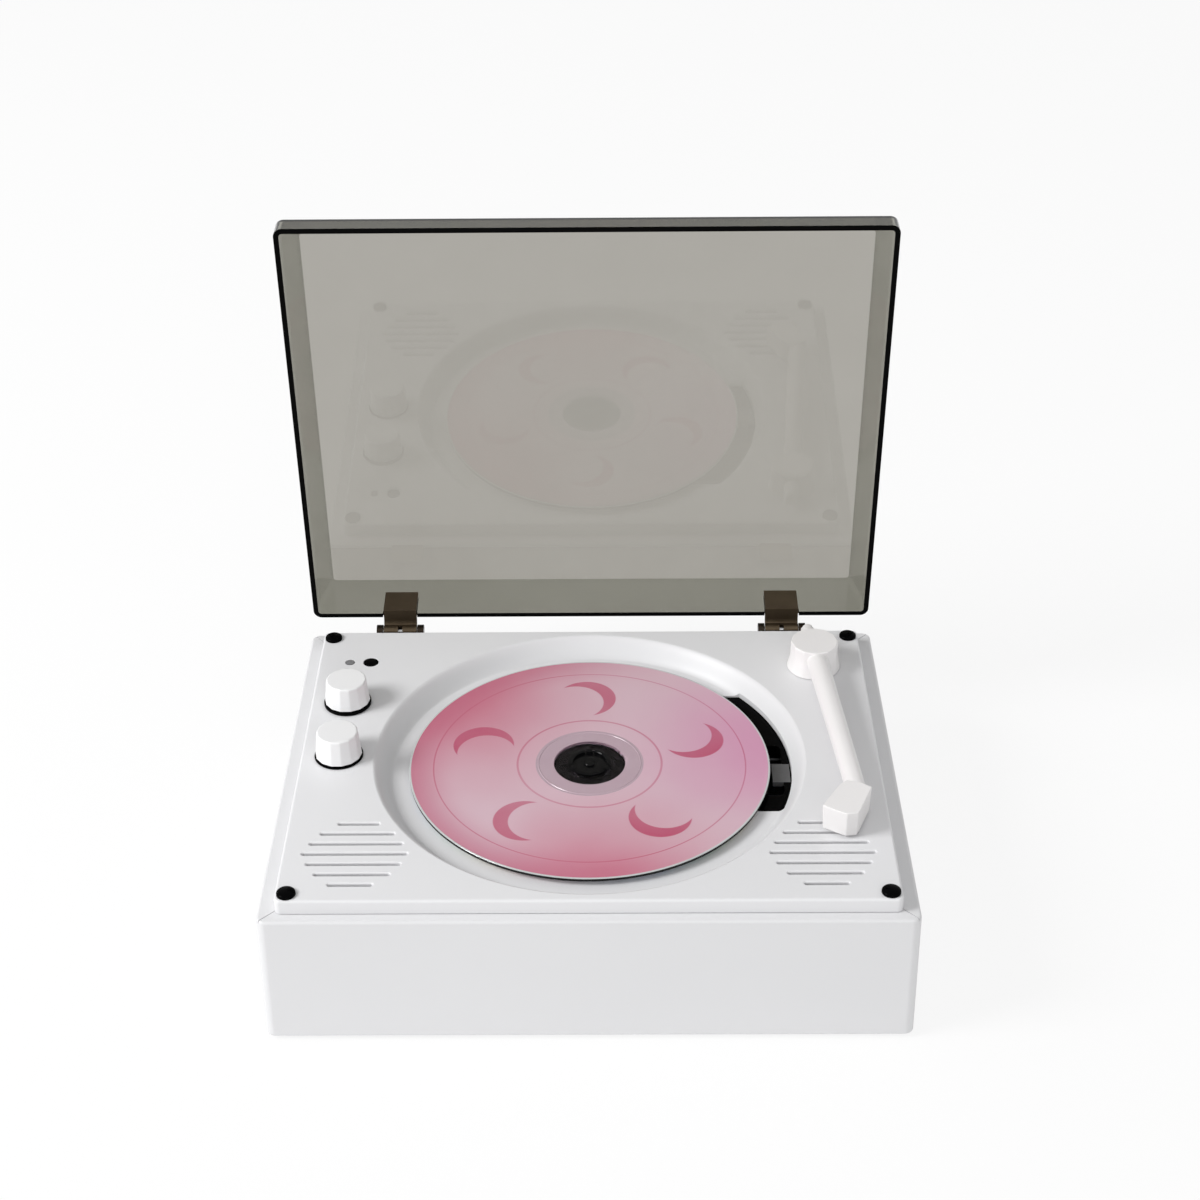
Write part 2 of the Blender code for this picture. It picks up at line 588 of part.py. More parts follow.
deck_holes = [(x, y, CAP_STEM_RADIUS + FIT_GAP) for x, y in caps]
deck_holes += [(LED_X, CENTRE_Y + LED_Y, LED_RADIUS + FIT_GAP), (IR_X, CENTRE_Y + IR_Y, IR_RADIUS + FIT_GAP)]
deck_holes += [(KNOB_X, CENTRE_Y + y, SHAFT_RADIUS + 2 * FIT_GAP) for y in (VOLUME_Y, MODE_Y)]
deck_holes += [(ARM_X, CENTRE_Y + ARM_Y, ARM_POST_RADIUS + FIT_GAP)]
for x, y, radius in deck_holes:
    cut(top_deck, rod("deck_hole", radius, (x, y, DECK_TOP - DECK_PLATE - CUT_OVERRUN),
                      (x, y, DECK_TOP + CUT_OVERRUN), sides=SCREW_SIDES))

# Domed black caps at the deck's corners, each on a stem through the deck

CAP_RADIUS = 0.0030
CAP_HEIGHT = 0.0016
CAP_RIM = 0.0005
CAP_STEM_LENGTH = 0.0022

for corner, (x, y) in zip(corners, caps):
    dome = [(CAP_RADIUS * math.sin(turn), SEAT_GAP + CAP_RIM + (CAP_HEIGHT - CAP_RIM) * math.cos(turn))
            for turn in (0, math.pi / 6, math.pi / 3, math.pi / 2)]
    turned("cap_" + corner,
           dome + [(CAP_RADIUS, SEAT_GAP), (CAP_STEM_RADIUS, SEAT_GAP), (CAP_STEM_RADIUS, -CAP_STEM_LENGTH),
                   (0, -CAP_STEM_LENGTH)], (x, y, DECK_TOP), black_plastic, SMALL_SIDES)

# Power light and remote window, two small lenses set in the deck

LENS_PROUD = 0.0002

rod("power_light", LED_RADIUS, place(LED_X, LED_Y, -DECK_PLATE), place(LED_X, LED_Y, LENS_PROUD), led_grey)
rod("remote_window", IR_RADIUS, place(IR_X, IR_Y, -DECK_PLATE), place(IR_X, IR_Y, LENS_PROUD), black_plastic)

# Two knobs: each a faceted white cap on a shaft, over a black ring, with its control under the deck

KNOB_TOP_RADIUS = 0.0069
KNOB_FOOT_RADIUS = 0.0078
KNOB_TOP = 0.0100
KNOB_EDGE = 0.0006
KNOB_FACETS = 14
KNOB_BORE_TOP = 0.0070
RING_PROUD = 0.0003
VOLUME_RING_HEIGHT = 0.0011
MODE_RING_HEIGHT = 0.0005
CONTROL_WIDTH = 0.0120
CONTROL_HEIGHT = 0.0070

control_top = -DECK_PLATE - FIT_GAP
ring_radius = KNOB_FOOT_RADIUS + RING_PROUD
for kind, y, ring_height in (("volume", VOLUME_Y, VOLUME_RING_HEIGHT), ("mode", MODE_Y, MODE_RING_HEIGHT)):
    seat = SEAT_GAP + ring_height
    bore = SHAFT_RADIUS + SEAT_GAP
    turned(kind + "_knob",
           [(0, KNOB_TOP), (KNOB_TOP_RADIUS - KNOB_EDGE, KNOB_TOP), (KNOB_TOP_RADIUS, KNOB_TOP - KNOB_EDGE),
            (KNOB_FOOT_RADIUS, seat + FIT_GAP + KNOB_EDGE), (KNOB_FOOT_RADIUS, seat + FIT_GAP),
            (bore, seat + FIT_GAP), (bore, KNOB_BORE_TOP), (0, KNOB_BORE_TOP)],
           place(KNOB_X, y), white_plastic, KNOB_FACETS)
    turned(kind + "_ring",
           [(ring_radius, seat), (ring_radius, SEAT_GAP), (SHAFT_RADIUS + 2 * FIT_GAP, SEAT_GAP),
            (SHAFT_RADIUS + 2 * FIT_GAP, seat)], place(KNOB_X, y), black_plastic, MIDDLE_SIDES, ring=True)
    rod(kind + "_shaft", SHAFT_RADIUS, place(KNOB_X, y, control_top + FIT_GAP),
        place(KNOB_X, y, KNOB_BORE_TOP - SEAT_GAP), bright_steel)
    block(kind + "_control",
          place(KNOB_X - CONTROL_WIDTH / 2, y - CONTROL_WIDTH / 2, control_top - CONTROL_HEIGHT),
          place(KNOB_X + CONTROL_WIDTH / 2, y + CONTROL_WIDTH / 2, control_top), grey_metal)

# Two speakers, hung under the sound slots

SPEAKER_RIM = 0.0012
SPEAKER_RIM_WIDTH = 0.0020
SPEAKER_DEPTH = 0.0110
MAGNET_RADIUS = 0.0080
MAGNET_HEIGHT = 0.0050
CONE_DROP = 0.0040
CONE_EDGE_RADIUS = 0.0121
DUST_CAP_RADIUS = 0.0037

for name, side in (("speaker_left", -1), ("speaker_right", 1)):
    top = -DECK_PLATE - FIT_GAP
    turned(name,
           [(0, top - CONE_DROP), (DUST_CAP_RADIUS, top - CONE_DROP), (CONE_EDGE_RADIUS, top - SPEAKER_RIM),
            (SPEAKER_RADIUS - SPEAKER_RIM_WIDTH, top), (SPEAKER_RADIUS, top),
            (SPEAKER_RADIUS, top - SPEAKER_RIM), (SPEAKER_RADIUS - SPEAKER_RIM, top - SPEAKER_RIM),
            (MAGNET_RADIUS, top - SPEAKER_DEPTH + MAGNET_HEIGHT), (MAGNET_RADIUS, top - SPEAKER_DEPTH),
            (0, top - SPEAKER_DEPTH)],
           place(side * SPEAKER_X, SPEAKER_Y), cone_paper, SMALL_SIDES)

# Drive chassis: the black plate under the well that carries the motors, the rods and the gears. A raised pad
# on it fills the window, and a grey strip lies across the outer end of the pickup's opening.

CHASSIS_LEFT = -0.0300
CHASSIS_PAST_WINDOW = 0.0042
CHASSIS_FRONT, CHASSIS_BACK = -0.0330, 0.0480
CHASSIS_CORNER = 0.0040
CHASSIS_THICKNESS = 0.0020
SLED_OPENING_LEFT = 0.0150
SLED_OPENING_HALF = 0.0135
SPINDLE_RADIUS = 0.0010
ROD_RADIUS = 0.0015
ROD_Y = 0.0180
ROD_LEFT = 0.0128
ROD_END_INSET = 0.0010
ROD_BELOW = 0.0050
ROD_LUG_LENGTH = 0.0022
ROD_LUG_HALF = 0.0022
AXLE_RADIUS = 0.0012
GEAR_X = 0.0400
PAD_DROP = 0.0004
STRIP_SIDE_GAP = 0.0006
STRIP_LENGTH = 0.0059
STRIP_HOLD = 0.0024
STRIP_Y = -0.0015
STRIP_WIDTH = 0.0100
STRIP_THICKNESS = 0.0017

CHASSIS_RIGHT = WINDOW_RADIUS + CHASSIS_PAST_WINDOW
ROD_RIGHT = CHASSIS_RIGHT - ROD_END_INSET
STRIP_RIGHT = WINDOW_RADIUS - STRIP_SIDE_GAP
STRIP_LEFT = STRIP_RIGHT - STRIP_LENGTH
SLED_OPENING_RIGHT = STRIP_RIGHT - STRIP_HOLD
chassis_top = FLOOR_UNDER - FIT_GAP
chassis_under = chassis_top - CHASSIS_THICKNESS
rod_z = chassis_under - ROD_BELOW
chassis_middle = ((CHASSIS_LEFT + CHASSIS_RIGHT) / 2, CENTRE_Y + (CHASSIS_FRONT + CHASSIS_BACK) / 2)
pad_top = -FLOOR_DROP - PAD_DROP
sled_opening = rounded_rectangle(SLED_OPENING_RIGHT - SLED_OPENING_LEFT, 2 * SLED_OPENING_HALF,
                                 CHASSIS_CORNER / 2, ((SLED_OPENING_LEFT + SLED_OPENING_RIGHT) / 2, CENTRE_Y))
chassis = flat("drive_chassis",
               [rounded_rectangle(CHASSIS_RIGHT - CHASSIS_LEFT, CHASSIS_BACK - CHASSIS_FRONT, CHASSIS_CORNER,
                                  chassis_middle),
                circle_outline(SPINDLE_RADIUS + 2 * FIT_GAP, deck_centre)],
               (0, 0, DECK_TOP + chassis_under), CHASSIS_THICKNESS, black_plastic)
chassis_middle_z = chassis_under + CHASSIS_THICKNESS / 2
join(chassis, flat("window_pad", [window_outline(FIT_GAP)], (0, 0, DECK_TOP + chassis_middle_z),
                   pad_top - chassis_middle_z))
cut(chassis,
    flat("sled_opening", [sled_opening], (0, 0, DECK_TOP + chassis_under - CUT_OVERRUN),
         pad_top - chassis_under + 2 * CUT_OVERRUN),
    block("strip_recess", place(STRIP_LEFT, STRIP_Y - STRIP_WIDTH / 2 - FIT_GAP, chassis_top - SEAT_GAP),
          place(WINDOW_RADIUS, STRIP_Y + STRIP_WIDTH / 2 + FIT_GAP, CUT_OVERRUN)))
for y in (-ROD_Y, ROD_Y):
    for x in (ROD_LEFT, ROD_RIGHT - ROD_LUG_LENGTH):
        join(chassis, block("rod_lug", place(x, y - ROD_LUG_HALF, rod_z - ROD_LUG_HALF),
                            place(x + ROD_LUG_LENGTH, y + ROD_LUG_HALF, chassis_middle_z)))
    cut(chassis, rod("rod_hole", ROD_RADIUS + SEAT_GAP, place(ROD_LEFT - CUT_OVERRUN, y, rod_z),
                     place(ROD_RIGHT + CUT_OVERRUN, y, rod_z)))

for name, y in (("guide_rod_front", -ROD_Y), ("guide_rod_back", ROD_Y)):
    rod(name, ROD_RADIUS, place(ROD_LEFT, y, rod_z), place(ROD_RIGHT, y, rod_z), bright_steel)

block("window_bracket", place(STRIP_LEFT, STRIP_Y - STRIP_WIDTH / 2, chassis_top),
      place(STRIP_RIGHT, STRIP_Y + STRIP_WIDTH / 2, chassis_top + STRIP_THICKNESS), grey_metal)

# Spindle: a motor under the chassis, its shaft, and the black hub that clips into the disc

MOTOR_RADIUS = 0.0110
MOTOR_HEIGHT = 0.0080
HUB_TABLE_RADIUS = 0.01185
HUB_TABLE_THICKNESS = 0.0012
HUB_BOSS_RADIUS = 0.0073
HUB_BOSS_PROUD = 0.0007
HUB_RIM = 0.0017
HUB_DISH_DROP = 0.0011
HUB_CENTRE_RADIUS = 0.0018
CLIP_COUNT = 3
CLIP_WIDTH = 0.0026
CLIP_SLOT = 0.0004

motor_top = chassis_under - FIT_GAP
turned("spindle_motor",
       [(MOTOR_RADIUS, motor_top), (MOTOR_RADIUS, motor_top - MOTOR_HEIGHT),
        (SPINDLE_RADIUS + 2 * FIT_GAP, motor_top - MOTOR_HEIGHT), (SPINDLE_RADIUS + 2 * FIT_GAP, motor_top)],
       place(0, 0), bright_steel, SMALL_SIDES, ring=True)

disc_under = -DISC_DROP - DISC_THICKNESS
table_top = disc_under - SEAT_GAP
table_under = table_top - HUB_TABLE_THICKNESS
boss_top = -DISC_DROP + HUB_BOSS_PROUD
bore = SPINDLE_RADIUS + SEAT_GAP
bore_top = table_top + HUB_BOSS_PROUD
hub = turned("disc_hub",
             [(0, boss_top - HUB_DISH_DROP / 3), (HUB_CENTRE_RADIUS, boss_top - HUB_DISH_DROP / 3),
              (HUB_CENTRE_RADIUS, boss_top - HUB_DISH_DROP),
              (HUB_BOSS_RADIUS - HUB_RIM, boss_top - HUB_DISH_DROP),
              (HUB_BOSS_RADIUS - HUB_RIM, boss_top), (HUB_BOSS_RADIUS - HUB_RIM / 3, boss_top),
              (HUB_BOSS_RADIUS, boss_top - HUB_BOSS_PROUD), (HUB_BOSS_RADIUS, table_top),
              (HUB_TABLE_RADIUS, table_top), (HUB_TABLE_RADIUS, table_under),
              (bore + HUB_RIM, table_under), (bore + HUB_RIM, table_under - HUB_RIM),
              (bore, table_under - HUB_RIM), (bore, bore_top), (0, bore_top)],
             place(0, 0), black_plastic, MIDDLE_SIDES)
for clip in range(CLIP_COUNT):
    turn = math.pi / 2 + 2 * math.pi * clip / CLIP_COUNT
    for side in (-1, 1):
        slot = block("clip_slot", (HUB_BOSS_RADIUS - 2 * HUB_RIM, -CLIP_SLOT / 2, -HUB_DISH_DROP),
                     (HUB_BOSS_RADIUS + HUB_RIM, CLIP_SLOT / 2, CUT_OVERRUN))
        across = Vector((-math.sin(turn), math.cos(turn), 0)) * (side * CLIP_WIDTH / 2)
        outward = Vector((math.cos(turn), math.sin(turn), 0)) * (HUB_BOSS_RADIUS - HUB_RIM / 2)
        slot.location = place(0, 0, boss_top) + across + outward
        slot.rotation_euler.z = turn
        cut(hub, slot)
rod("spindle_shaft", SPINDLE_RADIUS, place(0, 0, motor_top - MOTOR_HEIGHT), place(0, 0, bore_top - SEAT_GAP),
    bright_steel)

# Compact disc, lying on the hub's table

turned("compact_disc",
       [(DISC_RADIUS, -DISC_DROP), (DISC_RADIUS, disc_under), (DISC_HOLE_RADIUS, disc_under),
        (DISC_HOLE_RADIUS, -DISC_DROP)], place(0, 0), disc_print, BIG_SIDES, ring=True)

# Pickup sled: it slides on the two rods, with a rack along its back edge

LENS_REST_X = 0.0240
SLED_END_GAP = 0.0004
SLED_HALF_LENGTH = 0.0085
SLED_HALF_WIDTH = 0.0205
SLED_HEIGHT = 0.0044
NECK_HALF_LENGTH = 0.0075
NECK_HALF_WIDTH = 0.0115
NECK_DROP = 0.0002
LENS_RADIUS = 0.0030
LENS_CROWN = 0.0006
LENS_SEAT_DEPTH = 0.0010
LENS_DROP = 0.0003
COLLAR_RADIUS = 0.0044
COLLAR_DROP = 0.0009
RACK_MODULE = 0.0008
RACK_SPARE_TEETH = 2
RACK_BAR = 0.0016
WEB_OVERLAP = 0.0008
RACK_HEIGHT = 0.0024
BACKLASH = 0.00015
PRESSURE_ANGLE = math.radians(20)
ADDENDUM = 0.75
DEDENDUM = 1.05

sled_top = rod_z + SLED_HEIGHT / 2
sled_low = rod_z - SLED_HEIGHT / 2
neck_top = chassis_top - NECK_DROP
lens_top = -FLOOR_DROP - LENS_DROP
sled = block("pickup_sled", place(LENS_REST_X - SLED_HALF_LENGTH, -SLED_HALF_WIDTH, sled_low),
             place(LENS_REST_X + SLED_HALF_LENGTH, SLED_HALF_WIDTH, sled_top), black_plastic)
join(sled, block("sled_neck", place(LENS_REST_X - NECK_HALF_LENGTH, -NECK_HALF_WIDTH, rod_z),
                 place(LENS_REST_X + NECK_HALF_LENGTH, NECK_HALF_WIDTH, neck_top)),
     rod("lens_collar", COLLAR_RADIUS, place(LENS_REST_X, 0, rod_z),
         place(LENS_REST_X, 0, -FLOOR_DROP - COLLAR_DROP), sides=MIDDLE_SIDES))


def rack_outline(module, teeth, middle_x, root_y):
    """A straight rack whose teeth stand towards +Y from a bar."""
    pitch = math.pi * module
    lean = math.tan(PRESSURE_ANGLE)
    height = (ADDENDUM + DEDENDUM) * module
    half_root = pitch / 4 - BACKLASH / 2 + DEDENDUM * module * lean
    half_tip = pitch / 4 - BACKLASH / 2 - ADDENDUM * module * lean
    left, right = middle_x - teeth * pitch / 2, middle_x + teeth * pitch / 2
    outline = [(left, root_y), (left, root_y - RACK_BAR), (right, root_y - RACK_BAR), (right, root_y)]
    for tooth in range(teeth - 1, -1, -1):
        middle = left + tooth * pitch + pitch / 2
        outline += [(middle + half_root, root_y), (middle + half_tip, root_y + height),
                    (middle - half_tip, root_y + height), (middle - half_root, root_y)]
    return outline


sled_travel = STRIP_LEFT - SLED_END_GAP - COLLAR_RADIUS - LENS_REST_X
rack_pitch = math.pi * RACK_MODULE
rack_teeth = math.ceil(sled_travel / rack_pitch) + RACK_SPARE_TEETH
rack_root_y = SLED_HALF_WIDTH + FIT_GAP + RACK_BAR
rack_pitch_y = rack_root_y + DEDENDUM * RACK_MODULE
rack_low = rod_z - RACK_HEIGHT / 2
join(sled, flat("sled_rack", [rack_outline(RACK_MODULE, rack_teeth, LENS_REST_X, CENTRE_Y + rack_root_y)],
                (0, 0, DECK_TOP + rack_low), RACK_HEIGHT),
     block("rack_web", place(LENS_REST_X - SLED_HALF_LENGTH + FIT_GAP, SLED_HALF_WIDTH - WEB_OVERLAP,
                             rack_low + SEAT_GAP),
           place(LENS_REST_X + SLED_HALF_LENGTH - FIT_GAP, rack_root_y - WEB_OVERLAP,
                 rack_low + RACK_HEIGHT - SEAT_GAP)))
for y in (-ROD_Y, ROD_Y):
    cut(sled, rod("sled_bore", ROD_RADIUS + RUN_GAP, place(ROD_LEFT, y, rod_z), place(ROD_RIGHT, y, rod_z)))
lens_low = neck_top - LENS_SEAT_DEPTH
cut(sled, rod("lens_seat", LENS_RADIUS + SEAT_GAP, place(LENS_REST_X, 0, lens_low - SEAT_GAP),
              place(LENS_REST_X, 0, CUT_OVERRUN), sides=MIDDLE_SIDES))
crown = [(LENS_RADIUS * i / 4, lens_top - LENS_CROWN * i * i / 16) for i in range(5)]
turned("pickup_lens", crown + [(LENS_RADIUS, lens_low), (0, lens_low)], place(LENS_REST_X, 0), lens_glass,
       MIDDLE_SIDES)

# Gear train: the sled motor's pinion turns the drive gear, whose small gear moves the rack

DRIVE_SMALL_TEETH = 14
WHEEL_MODULE = 0.0006
WHEEL_TEETH = 40
PINION_TEETH = 12
WHEEL_THICKNESS = 0.0018
WHEEL_BELOW_SLED = 0.0006
PINION_FROM_WHEEL = math.radians(150)
SLED_MOTOR_RADIUS = 0.0062
SLED_MOTOR_HEIGHT = 0.0066
PINION_SHAFT_RADIUS = 0.0010
GEAR_CLIP_RADIUS = 0.0024
GEAR_CLIP_HEIGHT = 0.0006
FLANK_STEPS = 1


def gear_outline(module, teeth, middle, first_tooth, thinning):
    """A spur gear with involute flanks, one of its teeth standing at the angle of first_tooth."""
    pitch_radius = module * teeth / 2
    base_radius = pitch_radius * math.cos(PRESSURE_ANGLE)
    root_radius = pitch_radius - DEDENDUM * module
    tip_radius = pitch_radius + ADDENDUM * module
    half_pitch = (math.pi * module / 2 - thinning) / pitch_radius / 2
    at_pitch = math.tan(PRESSURE_ANGLE) - PRESSURE_ANGLE

    def half_angle(radius):
        if radius <= base_radius:
            return half_pitch + at_pitch
        roll = math.acos(base_radius / radius)
        return half_pitch + at_pitch - (math.tan(roll) - roll)

    low = max(base_radius, root_radius)
    flank = [root_radius] if low > root_radius else []
    flank += [low + (tip_radius - low) * i / FLANK_STEPS for i in range(FLANK_STEPS + 1)]
    outline = []
    for tooth in range(teeth):
        centre = first_tooth + 2 * math.pi * tooth / teeth
        sides = [(radius, centre - half_angle(radius)) for radius in flank]
        sides += [(radius, centre + half_angle(radius)) for radius in reversed(flank)]
        outline += [(middle[0] + radius * math.cos(turn), middle[1] + radius * math.sin(turn))
                    for radius, turn in sides]
    return outline


small_radius = RACK_MODULE * DRIVE_SMALL_TEETH / 2
wheel_radius = WHEEL_MODULE * WHEEL_TEETH / 2
pinion_radius = WHEEL_MODULE * PINION_TEETH / 2
gear_centre = (GEAR_X, CENTRE_Y + rack_pitch_y + small_radius)
wheel_top = sled_low - WHEEL_BELOW_SLED
wheel_low = wheel_top - WHEEL_THICKNESS
axle_end = wheel_low - GEAR_CLIP_HEIGHT - 2 * SEAT_GAP
axle_bore = circle_outline(AXLE_RADIUS + RUN_GAP, gear_centre)

# A tooth of the rack meets a gap of the small gear: the rack's nearest tooth stands this far off the axle
tooth_offset = (LENS_REST_X - GEAR_X) % rack_pitch
small_first = -math.pi / 2 + (tooth_offset + rack_pitch / 2) / small_radius
small_outline = gear_outline(RACK_MODULE, DRIVE_SMALL_TEETH, gear_centre, small_first, BACKLASH)
wheel_outline = gear_outline(WHEEL_MODULE, WHEEL_TEETH, gear_centre, PINION_FROM_WHEEL, BACKLASH)
wheel_middle = (wheel_low + wheel_top) / 2
drive_gear = flat("drive_gear", [small_outline, axle_bore], (0, 0, DECK_TOP + wheel_middle),
                  rack_low + RACK_HEIGHT - wheel_middle, gear_nylon)
join(drive_gear, flat("drive_wheel", [wheel_outline, axle_bore], (0, 0, DECK_TOP + wheel_low),
                      WHEEL_THICKNESS))
gear_point = Vector((gear_centre[0], gear_centre[1], DECK_TOP))
join(chassis, rod("gear_axle", AXLE_RADIUS, gear_point + Vector((0, 0, axle_end)),
                  gear_point + Vector((0, 0, chassis_middle_z))))
turned("gear_clip",
       [(GEAR_CLIP_RADIUS, wheel_low - SEAT_GAP), (GEAR_CLIP_RADIUS, wheel_low - SEAT_GAP - GEAR_CLIP_HEIGHT),
        (AXLE_RADIUS + SEAT_GAP, wheel_low - SEAT_GAP - GEAR_CLIP_HEIGHT),
        (AXLE_RADIUS + SEAT_GAP, wheel_low - SEAT_GAP)], gear_point, bright_steel, SCREW_SIDES, ring=True)

reach = wheel_radius + pinion_radius
motor_centre = (gear_centre[0] + reach * math.cos(PINION_FROM_WHEEL),
                gear_centre[1] + reach * math.sin(PINION_FROM_WHEEL))
motor_point = Vector((motor_centre[0], motor_centre[1], DECK_TOP))
pinion_first = PINION_FROM_WHEEL + math.pi + math.pi / PINION_TEETH
pinion = flat("motor_pinion",
              [gear_outline(WHEEL_MODULE, PINION_TEETH, motor_centre, pinion_first, BACKLASH)],
              (0, 0, DECK_TOP + wheel_low), WHEEL_THICKNESS, gear_nylon)
join(pinion, rod("pinion_shaft", PINION_SHAFT_RADIUS,
                 motor_point + Vector((0, 0, wheel_top - WHEEL_THICKNESS / 2)),
                 motor_point + Vector((0, 0, motor_top - FIT_GAP)), sides=SCREW_SIDES))
shaft_bore = PINION_SHAFT_RADIUS + 2 * FIT_GAP
turned("sled_motor",
       [(SLED_MOTOR_RADIUS, motor_top), (SLED_MOTOR_RADIUS, motor_top - SLED_MOTOR_HEIGHT),
        (shaft_bore, motor_top - SLED_MOTOR_HEIGHT), (shaft_bore, motor_top)],
       motor_point, bright_steel, SMALL_SIDES, ring=True)

# Tonearm: a drum that swings on a post, a round tube and a faceted head over the right speaker

ARM_BASE_TOP = 0.0105
ARM_BASE_RADIUS = 0.0083
ARM_BASE_FOOT_RADIUS = 0.0092
ARM_BASE_EDGE = 0.0005
ARM_BASE_FACETS = 12
ARM_POST_TOP = 0.0085
ARM_POST_NUT_RADIUS = 0.0048
ARM_POST_NUT_HEIGHT = 0.0018
ARM_TUBE_RADIUS = 0.0037
ARM_TUBE_END_RADIUS = 0.0032
ARM_TUBE_Z = 0.0066
ARM_SWAY = math.radians(4.9)
HEAD_FROM_AXIS = 0.0796
HEAD_LENGTH = 0.0175
HEAD_WIDTH = 0.0173
HEAD_LEFT = 0.0130
HEAD_LOW = 0.0010
HEAD_TOP = 0.0102
HEAD_EDGE = 0.0004
HEAD_UNDERCUT = 0.0004
HEAD_OUTLINE_SHARES = ((0.0, 0.56), (0.09, 0.82), (0.25, 1.0), (0.89, 0.67), (0.98, 0.61), (1.0, 0.40),
                       (0.87, 0.21), (0.70, 0.0), (0.13, 0.41))
STUB_TAPER_SHARE = 0.72
STUB_WIDTH = 0.0062
STUB_LENGTH = 0.0105
STUB_TOP = 0.0088
STUB_LOW = 0.0030

arm_point = place(ARM_X, ARM_Y)
turned("arm_post",
       [(0, ARM_POST_TOP), (ARM_POST_RADIUS, ARM_POST_TOP), (ARM_POST_RADIUS, control_top),
        (ARM_POST_NUT_RADIUS, control_top), (ARM_POST_NUT_RADIUS, control_top - ARM_POST_NUT_HEIGHT),
        (0, control_top - ARM_POST_NUT_HEIGHT)], arm_point, bright_steel, SCREW_SIDES)


def drum_profile(spare):
    """The drum's outline, larger all round by spare."""
    return [(0, ARM_BASE_TOP + spare), (ARM_BASE_RADIUS - ARM_BASE_EDGE + spare, ARM_BASE_TOP + spare),
            (ARM_BASE_RADIUS + spare, ARM_BASE_TOP - ARM_BASE_EDGE + spare),
            (ARM_BASE_RADIUS + spare, ARM_BASE_TOP / 2),
            (ARM_BASE_FOOT_RADIUS + spare, FIT_GAP - spare), (0, FIT_GAP - spare)]


arm_base = turned("arm_base", drum_profile(0.0), arm_point, white_plastic, ARM_BASE_FACETS)
along = Vector((math.sin(ARM_SWAY), -math.cos(ARM_SWAY), 0))
across = Vector((math.cos(ARM_SWAY), math.sin(ARM_SWAY), 0))
stub_from = arm_point - along * (ARM_BASE_RADIUS - ARM_BASE_EDGE)
stub_to = arm_point - along * (ARM_BASE_RADIUS + STUB_LENGTH - ARM_TUBE_RADIUS)
stub_rings = []
for point, share in ((stub_from, 1.0), (stub_to, STUB_TAPER_SHARE)):
    half = STUB_WIDTH / 2 * share
    drop = (STUB_TOP - STUB_LOW) * (1 - share) / 2
    stub_rings.append([point + across * x + Vector((0, 0, z)) for x, z in (
        (-half, STUB_LOW), (half, STUB_LOW), (half, STUB_TOP - half / 2 - drop), (half / 2, STUB_TOP - drop),
        (-half / 2, STUB_TOP - drop), (-half, STUB_TOP - half / 2 - drop))])
join(arm_base, lofted("arm_stub", stub_rings))
cut(arm_base, rod("arm_bore", ARM_POST_RADIUS + RUN_GAP, place(ARM_X, ARM_Y, -CUT_OVERRUN),
                  place(ARM_X, ARM_Y, ARM_POST_TOP + SEAT_GAP)))


def head_ring(level, spare):
    """The head's outline at a level, larger all round by spare."""
    points = []
    for forward_share, right_share in HEAD_OUTLINE_SHARES:
        forward = HEAD_FROM_AXIS + HEAD_LENGTH * forward_share + spare * (2 * forward_share - 1)
        right = HEAD_WIDTH * right_share - HEAD_LEFT + spare * (2 * right_share - 1)
        points.append(arm_point + along * forward + across * right + Vector((0, 0, level)))
    return points


lofted("arm_head", [head_ring(HEAD_LOW, -HEAD_UNDERCUT), head_ring(HEAD_TOP - HEAD_EDGE, 0),
                    head_ring(HEAD_TOP, -HEAD_EDGE)], white_plastic)

tube_axis = arm_point + Vector((0, 0, ARM_TUBE_Z))
arm_tube = rod("arm_tube", ARM_TUBE_RADIUS, tube_axis + along * (ARM_BASE_RADIUS - 2 * ARM_BASE_EDGE),
               tube_axis + along * (HEAD_FROM_AXIS + HEAD_LENGTH / 4), white_plastic, MIDDLE_SIDES,
               ARM_TUBE_END_RADIUS)
cut(arm_tube, turned("drum_clearance", drum_profile(SEAT_GAP), arm_point, sides=ARM_BASE_FACETS),
    lofted("head_clearance", [head_ring(0, FIT_GAP), head_ring(HEAD_TOP + CUT_OVERRUN, FIT_GAP)]))

# Hinges: each a bronze clip round the lid's back wall, a leaf on the base's back and a pin through both

HINGE_INSET = 0.0316
CLIP_LENGTH = 0.0120
CLIP_PLATE = 0.0010
CLIP_HEIGHT = 0.0112
CLIP_NOTCH_HEIGHT = 0.0014
BARREL_RADIUS = 0.0024
BARREL_BORE = 0.0012
PIN_RADIUS = 0.0009
LEAF_LENGTH = 0.0172
LEAF_THICKNESS = 0.0015
LEAF_HEIGHT = 0.0140
LEAF_BELOW_LEDGE = 0.0005
LEAF_SCREW_RADIUS = 0.0018
LEAF_SCREW_DROP = 0.0098
LEAF_SCREW_PROUD = 0.0004

LID_SIDE_STRAIGHT = 0.0065
LID_CORNER = 0.0030
LID_SIDE_INSET = 0.0040
LID_FRONT_INSET = 0.0120
LID_EDGE = 0.0008

pivot = place(0, PIVOT_Y, PIVOT_Z - DECK_TOP)
lid_pivot = bpy.data.objects.new("lid_pivot", None)
player.objects.link(lid_pivot)
lid_pivot.location = pivot
lid_pivot.rotation_euler.x = -LID_OPEN_ANGLE
base_z = PIVOT_BELOW + RIM_GAP


def in_lid(x, forward, above):
    """A point of the closed lid from the hinge pin: forward of the box's back face and above the rim."""
    return Vector((x, -forward - PIVOT_BEHIND, base_z + above))


def on_lid(thing):
    """Hangs a piece or a cutter on the lid's hinge."""
    thing.parent = lid_pivot
    return thing


